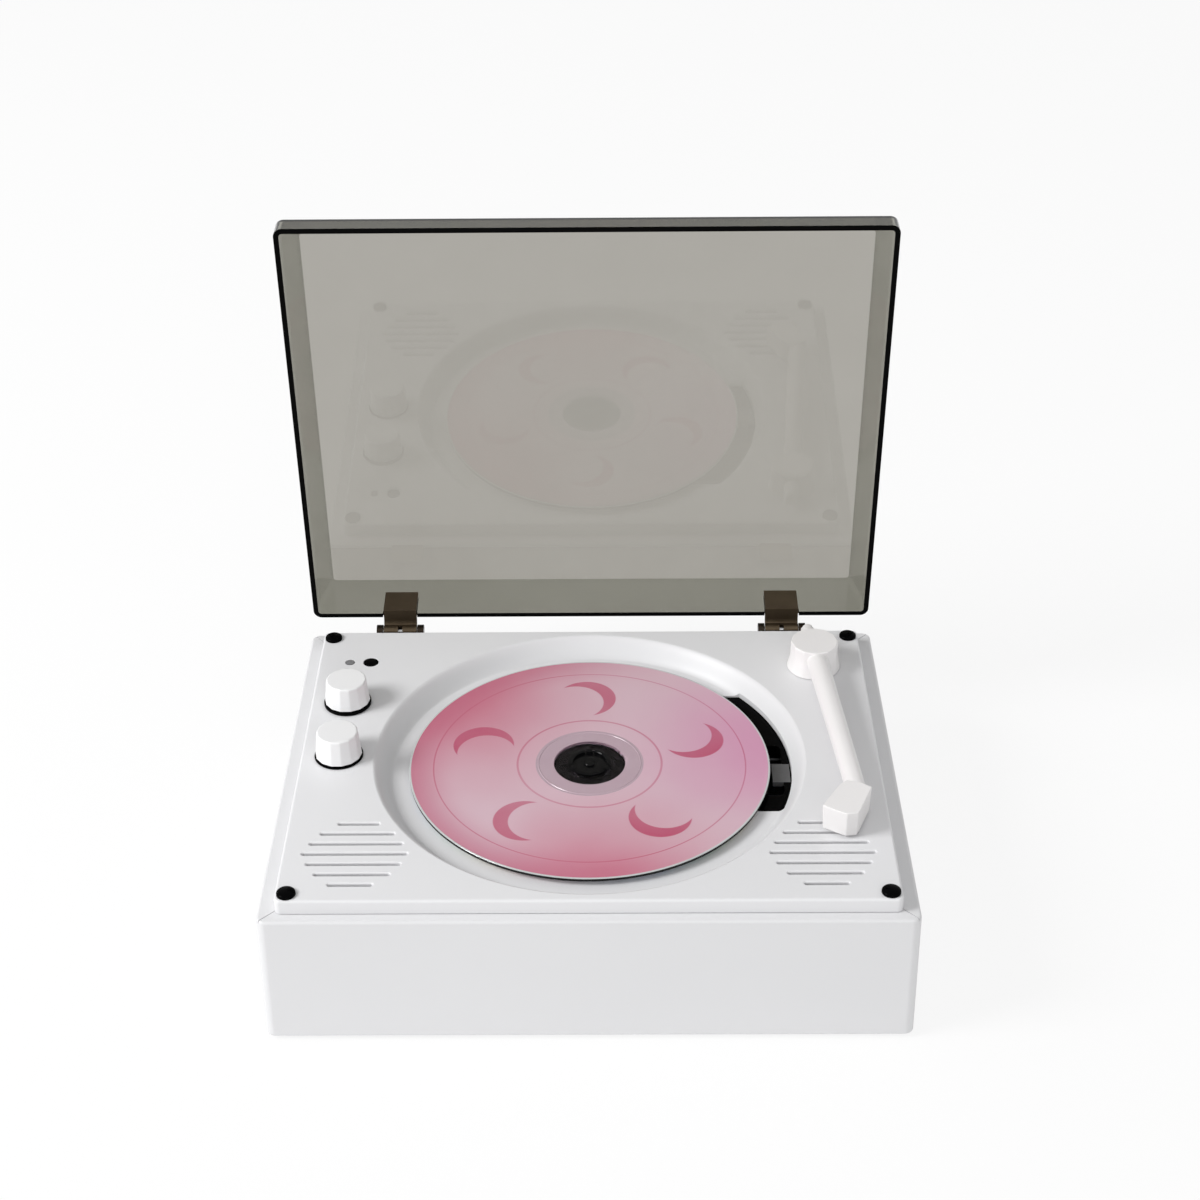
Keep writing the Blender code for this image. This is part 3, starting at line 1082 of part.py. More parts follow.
def lid_ring(above, inset_side, inset_front, inset_all):
    """The lid's outline at a height above its rim."""
    width = BASE_WIDTH - 2 * (inset_side + inset_all)
    back = inset_all
    front = BASE_DEPTH - inset_front - inset_all
    middle = (0.0, -(back + front) / 2 - PIVOT_BEHIND)
    outline = rounded_rectangle(width, front - back, max(LID_CORNER - inset_all, LID_EDGE), middle)
    return [Vector((x, y, base_z + above)) for x, y in outline]


lid_shell = on_lid(lofted("lid_shell", [
    lid_ring(0, 0, 0, 0),
    lid_ring(LID_SIDE_STRAIGHT, 0, 0, 0),
    lid_ring(LID_DEPTH - LID_EDGE, LID_SIDE_INSET - LID_EDGE / 2, LID_FRONT_INSET - LID_EDGE, 0),
    lid_ring(LID_DEPTH, LID_SIDE_INSET, LID_FRONT_INSET, LID_EDGE)], smoked_clear))
inner_top = LID_DEPTH - LID_WALL
cut(lid_shell, on_lid(lofted("lid_hollow", [
    lid_ring(-CUT_OVERRUN, 0, 0, LID_WALL),
    lid_ring(LID_SIDE_STRAIGHT, 0, 0, LID_WALL),
    lid_ring(inner_top, LID_SIDE_INSET - LID_EDGE / 2, LID_FRONT_INSET - LID_EDGE, LID_WALL)])))

leaf_top = LEDGE_Z - LEAF_BELOW_LEDGE
leaf_middle_y = back_face_y + FIT_GAP + LEAF_THICKNESS / 2
for side, name in ((-1, "left"), (1, "right")):
    x = side * (BASE_WIDTH / 2 - HINGE_INSET)
    half = CLIP_LENGTH / 2
    notch_from = in_lid(x - half - FIT_GAP, LID_WALL + CUT_OVERRUN, -CUT_OVERRUN)
    notch_to = in_lid(x + half + FIT_GAP, -CUT_OVERRUN, CLIP_NOTCH_HEIGHT)
    cut(lid_shell, on_lid(block("hinge_notch", notch_from, notch_to)))
    notch_low, notch_top = SEAT_GAP, CLIP_NOTCH_HEIGHT - FIT_GAP
    inner_from, inner_to = LID_WALL + FIT_GAP, LID_WALL + FIT_GAP + CLIP_PLATE
    outer_from, outer_to = -FIT_GAP, -FIT_GAP - CLIP_PLATE
    barrel_above = -base_z
    profile = [(inner_to, notch_low), (inner_to, CLIP_HEIGHT), (inner_from, CLIP_HEIGHT),
               (inner_from, notch_top), (outer_from, notch_top), (outer_from, CLIP_HEIGHT),
               (outer_to, CLIP_HEIGHT), (outer_to, notch_top + CLIP_PLATE),
               (-PIVOT_BEHIND, barrel_above + BARREL_RADIUS - SEAT_GAP),
               (-PIVOT_BEHIND + BARREL_RADIUS / 2, barrel_above + BARREL_RADIUS / 3), (outer_to, notch_low)]
    clip_ends = [[in_lid(x + end, forward, above) for forward, above in profile] for end in (-half, half)]
    clip = on_lid(lofted("hinge_clip_" + name, clip_ends, hinge_bronze))
    join(clip, on_lid(rod("clip_barrel", BARREL_RADIUS, (x - half, 0, 0), (x + half, 0, 0),
                          sides=ROUND_SIDES)))
    cut(clip, on_lid(rod("barrel_bore", BARREL_BORE, (x - half - CUT_OVERRUN, 0, 0),
                         (x + half + CUT_OVERRUN, 0, 0))))

    leaf = block("hinge_leaf_" + name,
                 (x - LEAF_LENGTH / 2, back_face_y + FIT_GAP, leaf_top - LEAF_HEIGHT),
                 (x + LEAF_LENGTH / 2, back_face_y + FIT_GAP + LEAF_THICKNESS, leaf_top), hinge_bronze)
    for end in (-1, 1):
        inner = x + end * (half + FIT_GAP)
        outer = x + end * LEAF_LENGTH / 2
        screw_x, screw_z = x + end * LEAF_LENGTH / 4, leaf_top - LEAF_SCREW_DROP
        screw_end_y = leaf_middle_y + LEAF_THICKNESS / 2 + LEAF_SCREW_PROUD
        join(leaf,
             rod("leaf_knuckle", BARREL_RADIUS, (inner, pivot.y, pivot.z), (outer, pivot.y, pivot.z),
                 sides=MIDDLE_SIDES),
             block("knuckle_root", (min(inner, outer), leaf_middle_y, pivot.z - BARREL_RADIUS + FIT_GAP),
                   (max(inner, outer), pivot.y, pivot.z + BARREL_RADIUS / 3)),
             rod("leaf_screw", LEAF_SCREW_RADIUS, (screw_x, leaf_middle_y, screw_z),
                 (screw_x, screw_end_y, screw_z), sides=SCREW_SIDES))
    cut(leaf, rod("knuckle_bore", PIN_RADIUS + SEAT_GAP, (x - LEAF_LENGTH, pivot.y, pivot.z),
                  (x + LEAF_LENGTH, pivot.y, pivot.z)))
    rod("hinge_pin_" + name, PIN_RADIUS, (x - LEAF_LENGTH / 2, pivot.y, pivot.z),
        (x + LEAF_LENGTH / 2, pivot.y, pivot.z), bright_steel)
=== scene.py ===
import math

import bmesh
import bpy
from mathutils import Matrix, Vector


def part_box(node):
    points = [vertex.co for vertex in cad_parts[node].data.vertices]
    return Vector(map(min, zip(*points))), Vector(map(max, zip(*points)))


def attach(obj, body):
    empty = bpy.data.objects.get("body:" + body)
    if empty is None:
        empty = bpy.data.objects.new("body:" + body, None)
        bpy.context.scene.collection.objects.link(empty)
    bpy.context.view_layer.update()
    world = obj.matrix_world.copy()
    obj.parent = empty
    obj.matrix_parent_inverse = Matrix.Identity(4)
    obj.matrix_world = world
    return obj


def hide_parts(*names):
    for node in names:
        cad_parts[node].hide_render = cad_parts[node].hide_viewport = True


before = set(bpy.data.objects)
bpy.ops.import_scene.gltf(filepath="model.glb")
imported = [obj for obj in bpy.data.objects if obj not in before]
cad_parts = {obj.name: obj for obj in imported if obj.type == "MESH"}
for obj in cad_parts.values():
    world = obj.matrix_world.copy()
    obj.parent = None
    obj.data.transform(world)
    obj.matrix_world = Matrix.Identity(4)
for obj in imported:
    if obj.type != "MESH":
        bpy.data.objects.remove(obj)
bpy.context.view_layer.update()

# The room: a pale table that runs back into a white studio, and a camera in front of the player and above
# it, as in the photo. A wide soft lamp stands high on the left and a weaker one far off in front.


def middle(low, high):
    return (low + high) / 2


DISC_LOW, DISC_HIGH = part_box("compact_disc")
DECK_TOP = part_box("top_deck")[1].z
CENTRE = Vector((middle(DISC_LOW.x, DISC_HIGH.x), middle(DISC_LOW.y, DISC_HIGH.y), DECK_TOP))

CAMERA_PLACE = Vector((0.00677, -0.58376, 0.43247))
CAMERA_DOWN = math.radians(32.49)
CAMERA_TURN = math.radians(-0.567)
CAMERA_ROLL = math.radians(-0.573)
PHOTO_WIDTH = 1200
FOCAL_PIXELS = 2180.4
SHIFT_PIXELS = 9.05
FILM_WIDTH = 36

forward = Vector((math.sin(CAMERA_TURN) * math.cos(CAMERA_DOWN),
                  math.cos(CAMERA_TURN) * math.cos(CAMERA_DOWN), -math.sin(CAMERA_DOWN)))
level = Vector((math.cos(CAMERA_TURN), -math.sin(CAMERA_TURN), 0))
upward = level.cross(forward)
right = level * math.cos(CAMERA_ROLL) + upward * math.sin(CAMERA_ROLL)
top = -level * math.sin(CAMERA_ROLL) + upward * math.cos(CAMERA_ROLL)
camera = bpy.data.objects.new("camera", bpy.data.cameras.new("camera"))
bpy.context.scene.collection.objects.link(camera)
camera.matrix_world = Matrix((right, top, -forward)).transposed().to_4x4()
camera.location = CENTRE + CAMERA_PLACE
camera.data.lens = FOCAL_PIXELS / PHOTO_WIDTH * FILM_WIDTH
camera.data.shift_x = SHIFT_PIXELS / PHOTO_WIDTH
bpy.context.scene.camera = camera
bpy.context.scene.view_settings.view_transform = "Standard"


class Wire:
    """A value or colour that runs between nodes. Sums written with it add the Math nodes that they need."""

    def __init__(self, finish, socket):
        self.finish = finish
        self.socket = socket

    def math(self, operation, *values):
        inputs = dict(enumerate(values))
        return self.finish.node("ShaderNodeMath", {"operation": operation}, inputs)

    def __add__(self, other):
        return self.math("ADD", self, other)

    def __sub__(self, other):
        return self.math("SUBTRACT", self, other)

    def __rsub__(self, other):
        return self.math("SUBTRACT", other, self)

    def __mul__(self, other):
        return self.math("MULTIPLY", self, other)

    def __truediv__(self, other):
        return self.math("DIVIDE", self, other)

    def __pow__(self, other):
        return self.math("POWER", self, other)

    __radd__ = __add__
    __rmul__ = __mul__

    def above(self, edge, blur):
        """0 below the edge and 1 over it, with a soft step as wide as the blur."""
        return self.finish.node("ShaderNodeMapRange", {"interpolation_type": "SMOOTHSTEP"},
                                {"Value": self, "From Min": edge - blur / 2, "From Max": edge + blur / 2})

    def below(self, edge, blur):
        return 1.0 - self.above(edge, blur)


# The colour sockets of a Mix node, by number.
MIX_FACTOR, MIX_FIRST, MIX_SECOND, MIX_RESULT = 0, 6, 7, 2


class Finish:
    """A material: one Principled shader, and the nodes that vary it."""

    def __init__(self, name, colour, roughness, **settings):
        self.material = bpy.data.materials.new(name)
        self.material.use_nodes = True
        self.tree = self.material.node_tree
        self.shader = self.tree.nodes["Principled BSDF"]
        self.set(Base_Color=(*colour, 1.0), Roughness=roughness, **settings)

    def set(self, **settings):
        for key, value in settings.items():
            self.feed(self.shader.inputs[key.replace("_", " ")], value)

    def feed(self, socket, value):
        if isinstance(value, Wire):
            self.tree.links.new(value.socket, socket)
        else:
            socket.default_value = value

    def node(self, kind, settings=None, inputs=None, output=0):
        made = self.tree.nodes.new(kind)
        for key, value in (settings or {}).items():
            if key == "stops":
                ramp = made.color_ramp.elements
                while len(ramp) < len(value):
                    ramp.new(1.0)
                for stop, (place, colour) in zip(ramp, value):
                    stop.position = place
                    stop.color = (*colour, 1.0)
            else:
                setattr(made, key, value)
        for key, value in (inputs or {}).items():
            self.feed(made.inputs[key], value)
        return Wire(self, made.outputs[output])

    def place(self):
        """The point on the piece, in metres, the same at every pose."""
        return self.node("ShaderNodeTexCoord", output="Object")

    def parts(self, vector):
        split = self.node("ShaderNodeSeparateXYZ", inputs={0: vector})
        return [Wire(self, split.socket.node.outputs[i]) for i in range(3)]

    def noise(self, vector, size, detail):
        """Noise in patches about as wide as the size, in metres."""
        return self.node("ShaderNodeTexNoise",
                         inputs={"Vector": vector, "Scale": 1.0 / size, "Detail": detail})

    def marks(self, size, detail=3.0):
        """Noise laid over the piece as it stands at rest."""
        return self.noise(self.place(), size, detail)

    def wear(self, size, low, spread, detail=3.0):
        """Marks that vary the roughness, from low up."""
        marks = self.marks(size, detail)
        self.set(Roughness=low + marks * spread)
        return marks

    def mix(self, factor, first, second):
        """The first colour run into the second, each a wire or three numbers."""
        first, second = [value if isinstance(value, Wire) else (*value, 1.0) for value in (first, second)]
        return self.node("ShaderNodeMix", {"data_type": "RGBA"},
                         {MIX_FACTOR: factor, MIX_FIRST: first, MIX_SECOND: second}, MIX_RESULT)

    def bump(self, height, strength, distance):
        return self.node("ShaderNodeBump",
                         inputs={"Height": height, "Strength": strength, "Distance": distance})


FLOOR_SIZE = 6.0
FLOOR_COLOUR = (0.92, 0.92, 0.92)
FLOOR_PALER = (0.94, 0.94, 0.94)
FLOOR_GLOW = 0.85

floor_mesh = bpy.data.meshes.new("table_top")
floor_shape = bmesh.new()
bmesh.ops.create_grid(floor_shape, x_segments=1, y_segments=1, size=FLOOR_SIZE)
floor_shape.to_mesh(floor_mesh)
floor_shape.free()
table_top = bpy.data.objects.new("table_top", floor_mesh)
bpy.context.scene.collection.objects.link(table_top)
pale = Finish("pale_table", FLOOR_COLOUR, 0.9)
grain = pale.marks(size=0.05)
pale.set(Base_Color=pale.mix(grain, FLOOR_COLOUR, FLOOR_PALER))
ray = pale.tree.nodes.new("ShaderNodeLightPath")
seen = Wire(pale, ray.outputs["Is Camera Ray"]) + Wire(pale, ray.outputs["Is Glossy Ray"])
seen = seen + Wire(pale, ray.outputs["Is Transmission Ray"])
glow = pale.node("ShaderNodeEmission", inputs={"Color": (1.0, 1.0, 1.0, 1.0), "Strength": 1.0})
blend = pale.node("ShaderNodeMixShader", inputs={0: seen.math("MINIMUM", seen, 1.0) * FLOOR_GLOW,
                                                1: Wire(pale, pale.shader.outputs[0]), 2: glow})
pale.tree.links.new(blend.socket, pale.tree.nodes["Material Output"].inputs["Surface"])
floor_mesh.materials.append(pale.material)

ROOM_LIGHT = 0.52

world = bpy.data.worlds.new("white_room")
bpy.context.scene.world = world
world.use_nodes = True
room = world.node_tree
room_ray = room.nodes.new("ShaderNodeLightPath")
seen = room_ray.outputs["Is Camera Ray"]
for kind in ("Is Glossy Ray", "Is Transmission Ray"):
    either = room.nodes.new("ShaderNodeMath")
    either.operation = "MAXIMUM"
    room.links.new(seen, either.inputs[0])
    room.links.new(room_ray.outputs[kind], either.inputs[1])
    seen = either.outputs[0]
strength = room.nodes.new("ShaderNodeMapRange")
strength.inputs["To Min"].default_value = ROOM_LIGHT
strength.inputs["To Max"].default_value = 1.0
room.links.new(seen, strength.inputs["Value"])
backdrop = room.nodes["Background"]
backdrop.inputs["Color"].default_value = (1.0, 1.0, 1.0, 1.0)
room.links.new(strength.outputs[0], backdrop.inputs["Strength"])

# Each lamp's name, place, width in metres and power in watts.
LAMPS = (("lamp_left", (-1.45, -0.45, 1.22), 0.80, 24.5),
         ("lamp_front", (0.3, -2.1, 1.0), 1.2, 7.5))
LAMP_AIM = Vector((0, 0, 0.03))

for name, place, size, power in LAMPS:
    lamp = bpy.data.objects.new(name, bpy.data.lights.new(name, "AREA"))
    bpy.context.scene.collection.objects.link(lamp)
    lamp.data.shape = "DISK"
    lamp.data.size = size
    lamp.data.energy = power
    lamp.location = place
    lamp.rotation_euler = (LAMP_AIM - Vector(place)).to_track_quat("-Z", "Y").to_euler()

# Base shell: the white box, moulded in satin ABS with a fine eroded skin. Four walls and a flat ledge round
# the deck are one piece, with a hairline mitre across each corner of the ledge and sockets cut in the back.

BOX_LOW, BOX_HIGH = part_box("base_shell")
BOX_CORNER = 0.0030
BOX_EDGE = 0.0009
BOX_DRAFT = 0.0006
BOX_WALL = 0.0025
LEDGE_WIDTH = 0.0092
WELL_CLEARANCE = 0.0739
MITRE_WIDTH = 0.0003
MITRE_DEPTH = 0.0009
POST_RADIUS = 0.0040
POST_INSET = 0.0060
POST_BORE = 0.0014
POST_BORE_TOP = 0.0135
OVERRUN = 0.0020
SHARP = math.radians(35)
WHITE = (0.80, 0.80, 0.812)
WHITE_DEEP = (0.77, 0.77, 0.785)
SKIN_CLOUD = 0.06
SKIN_GRAIN = 0.00035
SKIN_DEPTH = 0.00001
SKIN_SHEEN = 0.10


def satin_white(name, colour=WHITE, deep=WHITE_DEEP, roughness=0.42):
    """White ABS: a faint cloud of shade, and a fine eroded skin."""
    made = Finish(name, colour, roughness, Specular_IOR_Level=0.45)
    point = made.place()
    cloud = made.noise(point, SKIN_CLOUD, detail=2.0)
    skin = made.noise(point, SKIN_GRAIN, detail=2.0)
    made.set(Base_Color=made.mix(cloud, colour, deep), Roughness=roughness + (skin - 0.5) * SKIN_SHEEN,
             Normal=made.bump(skin, strength=0.35, distance=SKIN_DEPTH))
    return made


def rounded_rectangle(width, depth, radius, centre, inset=0.0, points=10):
    """The outline of a rectangle with round corners, drawn in on all sides by the inset."""
    outline = []
    corner = max(radius - inset, radius / 10)
    for quarter, (side_x, side_y) in enumerate(((1, 1), (-1, 1), (-1, -1), (1, -1))):
        for i in range(points):
            turn = math.pi / 2 * (quarter + i / (points - 1))
            outline.append((centre[0] + side_x * (width / 2 - inset - corner) + corner * math.cos(turn),
                            centre[1] + side_y * (depth / 2 - inset - corner) + corner * math.sin(turn)))
    return outline


def soft_levels(low, high, low_edge, high_edge, steps=5):
    """Heights and insets from low to high, with a quarter round at each end."""
    levels = []
    for end, edge, way in ((low, low_edge, 1), (high, high_edge, -1)):
        rounds = [math.pi / 2 * i / steps for i in range(steps + 1)] if edge else [0.0]
        arc = [(end + way * edge * (1 - math.sin(turn)), edge * (1 - math.cos(turn))) for turn in rounds]
        levels += arc[::-1] if way > 0 else arc
    return levels


def skinned(rings, closed=False):
    """A solid skinned over rings of points, with a face on each end, or a tube closed on itself."""
    shape = bmesh.new()
    loops = [[shape.verts.new(point) for point in ring] for ring in rings]
    pairs = list(zip(loops, loops[1:])) + ([(loops[-1], loops[0])] if closed else [])
    for lower, upper in pairs:
        count = len(lower)
        for i in range(count):
            shape.faces.new((lower[i], lower[(i + 1) % count], upper[(i + 1) % count], upper[i]))
    if not closed:
        shape.faces.new(loops[0])
        shape.faces.new(loops[-1])
    bmesh.ops.recalc_face_normals(shape, faces=shape.faces)
    return shape


def stacked(outline, levels):
    """A solid whose outline is drawn in by its own inset at each height."""
    return skinned([[Vector((x, y, height)) for x, y in outline(inset)] for height, inset in levels])


def block(low, high):
    shape = bmesh.new()
    bmesh.ops.create_cube(shape, size=1.0)
    bmesh.ops.scale(shape, vec=Vector(high) - Vector(low), verts=shape.verts)
    bmesh.ops.translate(shape, vec=(Vector(low) + Vector(high)) / 2, verts=shape.verts)
    return shape


def turned(profile, centre, sides=96, axis=None):
    """A turned shape from (radius, height) points, about a vertical line or the axis given."""
    aim = Vector(axis).to_track_quat("Z", "Y") if axis else None
    rings = []
    for radius, height in profile:
        ring = []
        for i in range(sides):
            turn = 2 * math.pi * i / sides
            point = Vector((radius * math.cos(turn), radius * math.sin(turn), height))
            ring.append(Vector(centre) + (aim @ point if aim else point))
        rings.append(ring)
    return rings


def upright(profile, centre, sides=96, closed=False):
    """A solid turned about the upright line through the centre."""
    return skinned(turned(profile, (centre.x, centre.y, 0), sides), closed)


def made_of(name, shape, *finishes):
    """A piece from a shape, with its finishes in the order of their slots."""
    mesh = bpy.data.meshes.new(name)
    shape.to_mesh(mesh)
    shape.free()
    for finish in finishes:
        mesh.materials.append(finish.material)
    made = bpy.data.objects.new(name, mesh)
    bpy.context.scene.collection.objects.link(made)
    return made


def carve(piece, shapes, operation="DIFFERENCE"):
    """Cuts shapes that don't touch each other out of the piece, or joins them to it."""
    merged = bpy.data.meshes.new("tool")
    whole = bmesh.new()
    for shape in shapes:
        shape.to_mesh(merged)
        shape.free()
        whole.from_mesh(merged)
    whole.to_mesh(merged)
    whole.free()
    tool = bpy.data.objects.new("tool", merged)
    bpy.context.scene.collection.objects.link(tool)
    step = piece.modifiers.new("cut", "BOOLEAN")
    step.operation = operation
    step.solver = "EXACT"
    step.object = tool
    graph = bpy.context.evaluated_depsgraph_get()
    mesh = bpy.data.meshes.new_from_object(piece.evaluated_get(graph))
    piece.modifiers.clear()
    old, piece.data = piece.data, mesh
    bpy.data.meshes.remove(old)
    bpy.data.objects.remove(tool, do_unlink=True)
    bpy.data.meshes.remove(merged)


def smooth(piece, rounding=0.0, limit=SHARP):
    """Rounds the piece's edges if asked, and shades it smooth, flat faces staying flat."""
    if rounding:
        edge = piece.modifiers.new("rounding", "BEVEL")
        edge.width = rounding
        edge.segments = 3
        edge.limit_method = "ANGLE"
        edge.angle_limit = limit
    piece.data.shade_smooth()
    piece.data.set_sharp_from_angle(angle=math.pi if rounding else SHARP)
    weigh = piece.modifiers.new("even_shading", "WEIGHTED_NORMAL")
    weigh.keep_sharp = True
    weigh.weight = 100
    return piece


def stands_for(piece, body, slot, *nodes):
    """The piece rides on the body and stands for the CAD nodes. The slot is not used."""
    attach(piece, body)
    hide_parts(*nodes)


def dress(finish, *nodes):
    for node in nodes:
        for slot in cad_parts[node].material_slots:
            slot.material = finish.material


box_white = satin_white("box_white", (0.755, 0.755, 0.765), (0.732, 0.732, 0.744))
box_width = BOX_HIGH.x - BOX_LOW.x - 2 * BOX_DRAFT
box_depth = BOX_HIGH.y - BOX_LOW.y
box_centre = (middle(BOX_LOW.x, BOX_HIGH.x), middle(BOX_LOW.y, BOX_HIGH.y))


def box_outline(inset):
    return rounded_rectangle(box_width, box_depth, BOX_CORNER, box_centre, inset)


shell = stacked(box_outline, soft_levels(BOX_LOW.z, BOX_HIGH.z, BOX_EDGE, BOX_EDGE))
for corner in shell.verts:
    draft = BOX_DRAFT * (BOX_HIGH.z - corner.co.z) / (BOX_HIGH.z - BOX_LOW.z)
    corner.co.x += math.copysign(draft, corner.co.x)
base_box = made_of("base_box", shell, box_white)
ledge_under = BOX_HIGH.z - BOX_WALL
usb_low, usb_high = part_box("usb_socket")
jack_low, jack_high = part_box("audio_jack")
slider_low, slider_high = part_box("power_slider")
CUT_MARGIN = 0.0003
SLIDER_ROOM = 0.0085
JACK_HOLE = 0.0031
jack_x, jack_z = middle(jack_low.x, jack_high.x), middle(jack_low.z, jack_high.z)
wall_back, wall_front = BOX_HIGH.y + OVERRUN, BOX_HIGH.y - BOX_WALL - OVERRUN
carve(base_box, [stacked(lambda inset: box_outline(BOX_WALL), [(BOX_LOW.z - OVERRUN, 0), (ledge_under, 0)])])
carve(base_box, [stacked(lambda inset: box_outline(LEDGE_WIDTH), [(ledge_under - OVERRUN, 0),
                                                                 (BOX_HIGH.z + OVERRUN, 0)])])
carve(base_box, [
    upright([(WELL_CLEARANCE, ledge_under - OVERRUN), (WELL_CLEARANCE, BOX_HIGH.z + OVERRUN)], CENTRE),
    block((usb_low.x - CUT_MARGIN, wall_front, usb_low.z - CUT_MARGIN),
          (usb_high.x + CUT_MARGIN, wall_back, usb_high.z + CUT_MARGIN)),
    skinned(turned([(JACK_HOLE, -BOX_WALL - OVERRUN), (JACK_HOLE, OVERRUN)], (jack_x, BOX_HIGH.y, jack_z),
                   sides=48, axis=(0, 1, 0))),
    block((slider_low.x - CUT_MARGIN, wall_front, slider_low.z - CUT_MARGIN),
          (slider_low.x + SLIDER_ROOM, wall_back, slider_high.z + CUT_MARGIN))])
mitres = []
for side_x in (-1, 1):
    for side_y in (-1, 1):
        groove = block((-LEDGE_WIDTH, -MITRE_WIDTH / 2, -MITRE_DEPTH),
                       (LEDGE_WIDTH, MITRE_WIDTH / 2, MITRE_DEPTH))
        slant = Matrix.Rotation(side_x * side_y * math.pi / 4, 3, "Z")
        bmesh.ops.rotate(groove, matrix=slant, verts=groove.verts)
        bmesh.ops.translate(groove, vec=(side_x * box_width / 2, box_centre[1] + side_y * box_depth / 2,
                                         BOX_HIGH.z), verts=groove.verts)
        mitres.append(groove)
carve(base_box, mitres)
posts = [Vector((side_x * (box_width / 2 - POST_INSET),
                 box_centre[1] + side_y * (box_depth / 2 - POST_INSET)))
         for side_x in (-1, 1) for side_y in (-1, 1)]
post_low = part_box("bottom_cover")[0].z + BOX_WALL
post_rod = [(POST_RADIUS, post_low), (POST_RADIUS, BOX_HIGH.z - BOX_WALL / 2)]
post_bore = [(POST_BORE, BOX_LOW.z), (POST_BORE, POST_BORE_TOP)]
carve(base_box, [upright(post_rod, post, sides=32) for post in posts], "UNION")
carve(base_box, [upright(post_bore, post, sides=24) for post in posts])
stands_for(smooth(base_box), "base", "white_plastic", "base_shell")

# Bottom cover: a flat plate of the same ABS, screwed up into four posts. Each screw is plated steel with a
# cross recess, and four moulded rubber feet press into the cover.

cover_white = satin_white("cover_white", WHITE_DEEP, (0.74, 0.74, 0.755), 0.5)
dress(cover_white, "bottom_cover")

foot_rubber = Finish("foot_rubber", (0.02, 0.02, 0.021), 0.8)
foot_grain = foot_rubber.wear(size=0.0006, low=0.70, spread=0.2)
foot_rubber.set(Normal=foot_rubber.bump(foot_grain, strength=0.4, distance=0.00003))
plain_steel = Finish("plain_steel", (0.55, 0.55, 0.56), 0.3, Metallic=1.0)
steel_marks = plain_steel.wear(size=0.0012, low=0.22, spread=0.2, detail=4.0)
plain_steel.set(Base_Color=plain_steel.mix(steel_marks, (0.50, 0.50, 0.51), (0.62, 0.62, 0.63)))
CORNERS = ("front_left", "back_left", "front_right", "back_right")
SEAT_GAP = 0.0001
FOOT_EDGE = 0.0004
PLUG_RADIUS = 0.0020
RECESS_LENGTH = 0.0015
RECESS_WIDTH = 0.0003
RECESS_DEPTH = 0.0006
SCREW_SHANK = 0.0013
SCREW_HEAD = 0.0009

for corner in CORNERS:
    low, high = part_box("foot_" + corner)
    centre = middle(low, high)
    radius = (high.x - low.x) / 2
    seat = BOX_LOW.z - SEAT_GAP
    profile = [(PLUG_RADIUS, high.z), (PLUG_RADIUS, seat)]
    profile += [(radius - inset, height) for height, inset in soft_levels(low.z, seat, FOOT_EDGE, 0)[::-1]]
    foot = made_of("rubber_foot_" + corner, upright(profile, centre, sides=64), foot_rubber)
    stands_for(smooth(foot), "base", "black_rubber", "foot_" + corner)

    low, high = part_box("screw_" + corner)
    centre = middle(low, high)
    radius = (high.x - low.x) / 2
    profile = [(SCREW_SHANK, high.z), (SCREW_SHANK, low.z + SCREW_HEAD)]
    profile += [(radius - inset, height) for height, inset in
                soft_levels(low.z, low.z + SCREW_HEAD, SCREW_HEAD / 2, 0)[::-1]]
    screw = made_of("cross_screw_" + corner, upright(profile, centre, sides=48), plain_steel)
    for long_x, long_y in ((RECESS_LENGTH, RECESS_WIDTH), (RECESS_WIDTH, RECESS_LENGTH)):
        carve(screw, [block((centre.x - long_x, centre.y - long_y, low.z - OVERRUN),
                            (centre.x + long_x, centre.y + long_y, low.z + RECESS_DEPTH))])
    stands_for(smooth(screw), "base", "grey_metal", "screw_" + corner)

# Circuit board and its sockets, seen through the cut-outs in the back wall: a steel-cased charging socket, a
# black sound socket with a round collar, and a slide switch whose black tip stands out of its slot.

board_coat = Finish("board_coat", (0.03, 0.16, 0.08), 0.4)
board_marks = board_coat.marks(size=0.002)
board_coat.set(Base_Color=board_coat.mix(board_marks, (0.02, 0.12, 0.06), (0.05, 0.22, 0.11)))
dress(board_coat, "circuit_board")
dress(plain_steel, "usb_socket", "switch_body")

black_satin = Finish("black_satin", (0.008, 0.008, 0.009), 0.35, Specular_IOR_Level=0.15)
satin_grain = black_satin.wear(size=0.0004, low=0.30, spread=0.14)
black_satin.set(Normal=black_satin.bump(satin_grain, strength=0.3, distance=0.00001))
dress(black_satin, "audio_jack", "power_slider")

# Battery pack: one lithium cell in a blue sleeve, shrunk on by heat. It lies flat on the bottom cover,
# beside the circuit board.

sleeve = Finish("battery_sleeve", (0.05, 0.13, 0.30), 0.35)
sleeve.wear(size=0.008, low=0.3, spread=0.15)
dress(sleeve, "battery_pack")

# Drive: a glossy black plate under the well, moulded in one with the pad that fills the window, and a grey
# strip across the pickup's opening. The sled and its lens run on two steel rods, coloured near black as
# painted shade for the dark space under the deck, and nylon gears move them.

black_gloss = Finish("black_gloss", (0.0012, 0.0012, 0.0014), 0.16, Specular_IOR_Level=0.02)
black_gloss.wear(size=0.004, low=0.11, spread=0.12)
dress(black_gloss, "drive_chassis")
dress(black_satin, "pickup_sled")
dress(plain_steel, "spindle_motor", "spindle_shaft", "sled_motor", "gear_clip")

# Painted shade: the rods are coloured near black to stand in for the dark space under the deck.
rod_steel_painted_shade = Finish("rod_steel_painted_shade", (0.040, 0.040, 0.042), 0.30, Metallic=0.9)
rod_steel_painted_shade.wear(size=0.001, low=0.24, spread=0.15, detail=4.0)
dress(rod_steel_painted_shade, "guide_rod_front", "guide_rod_back")

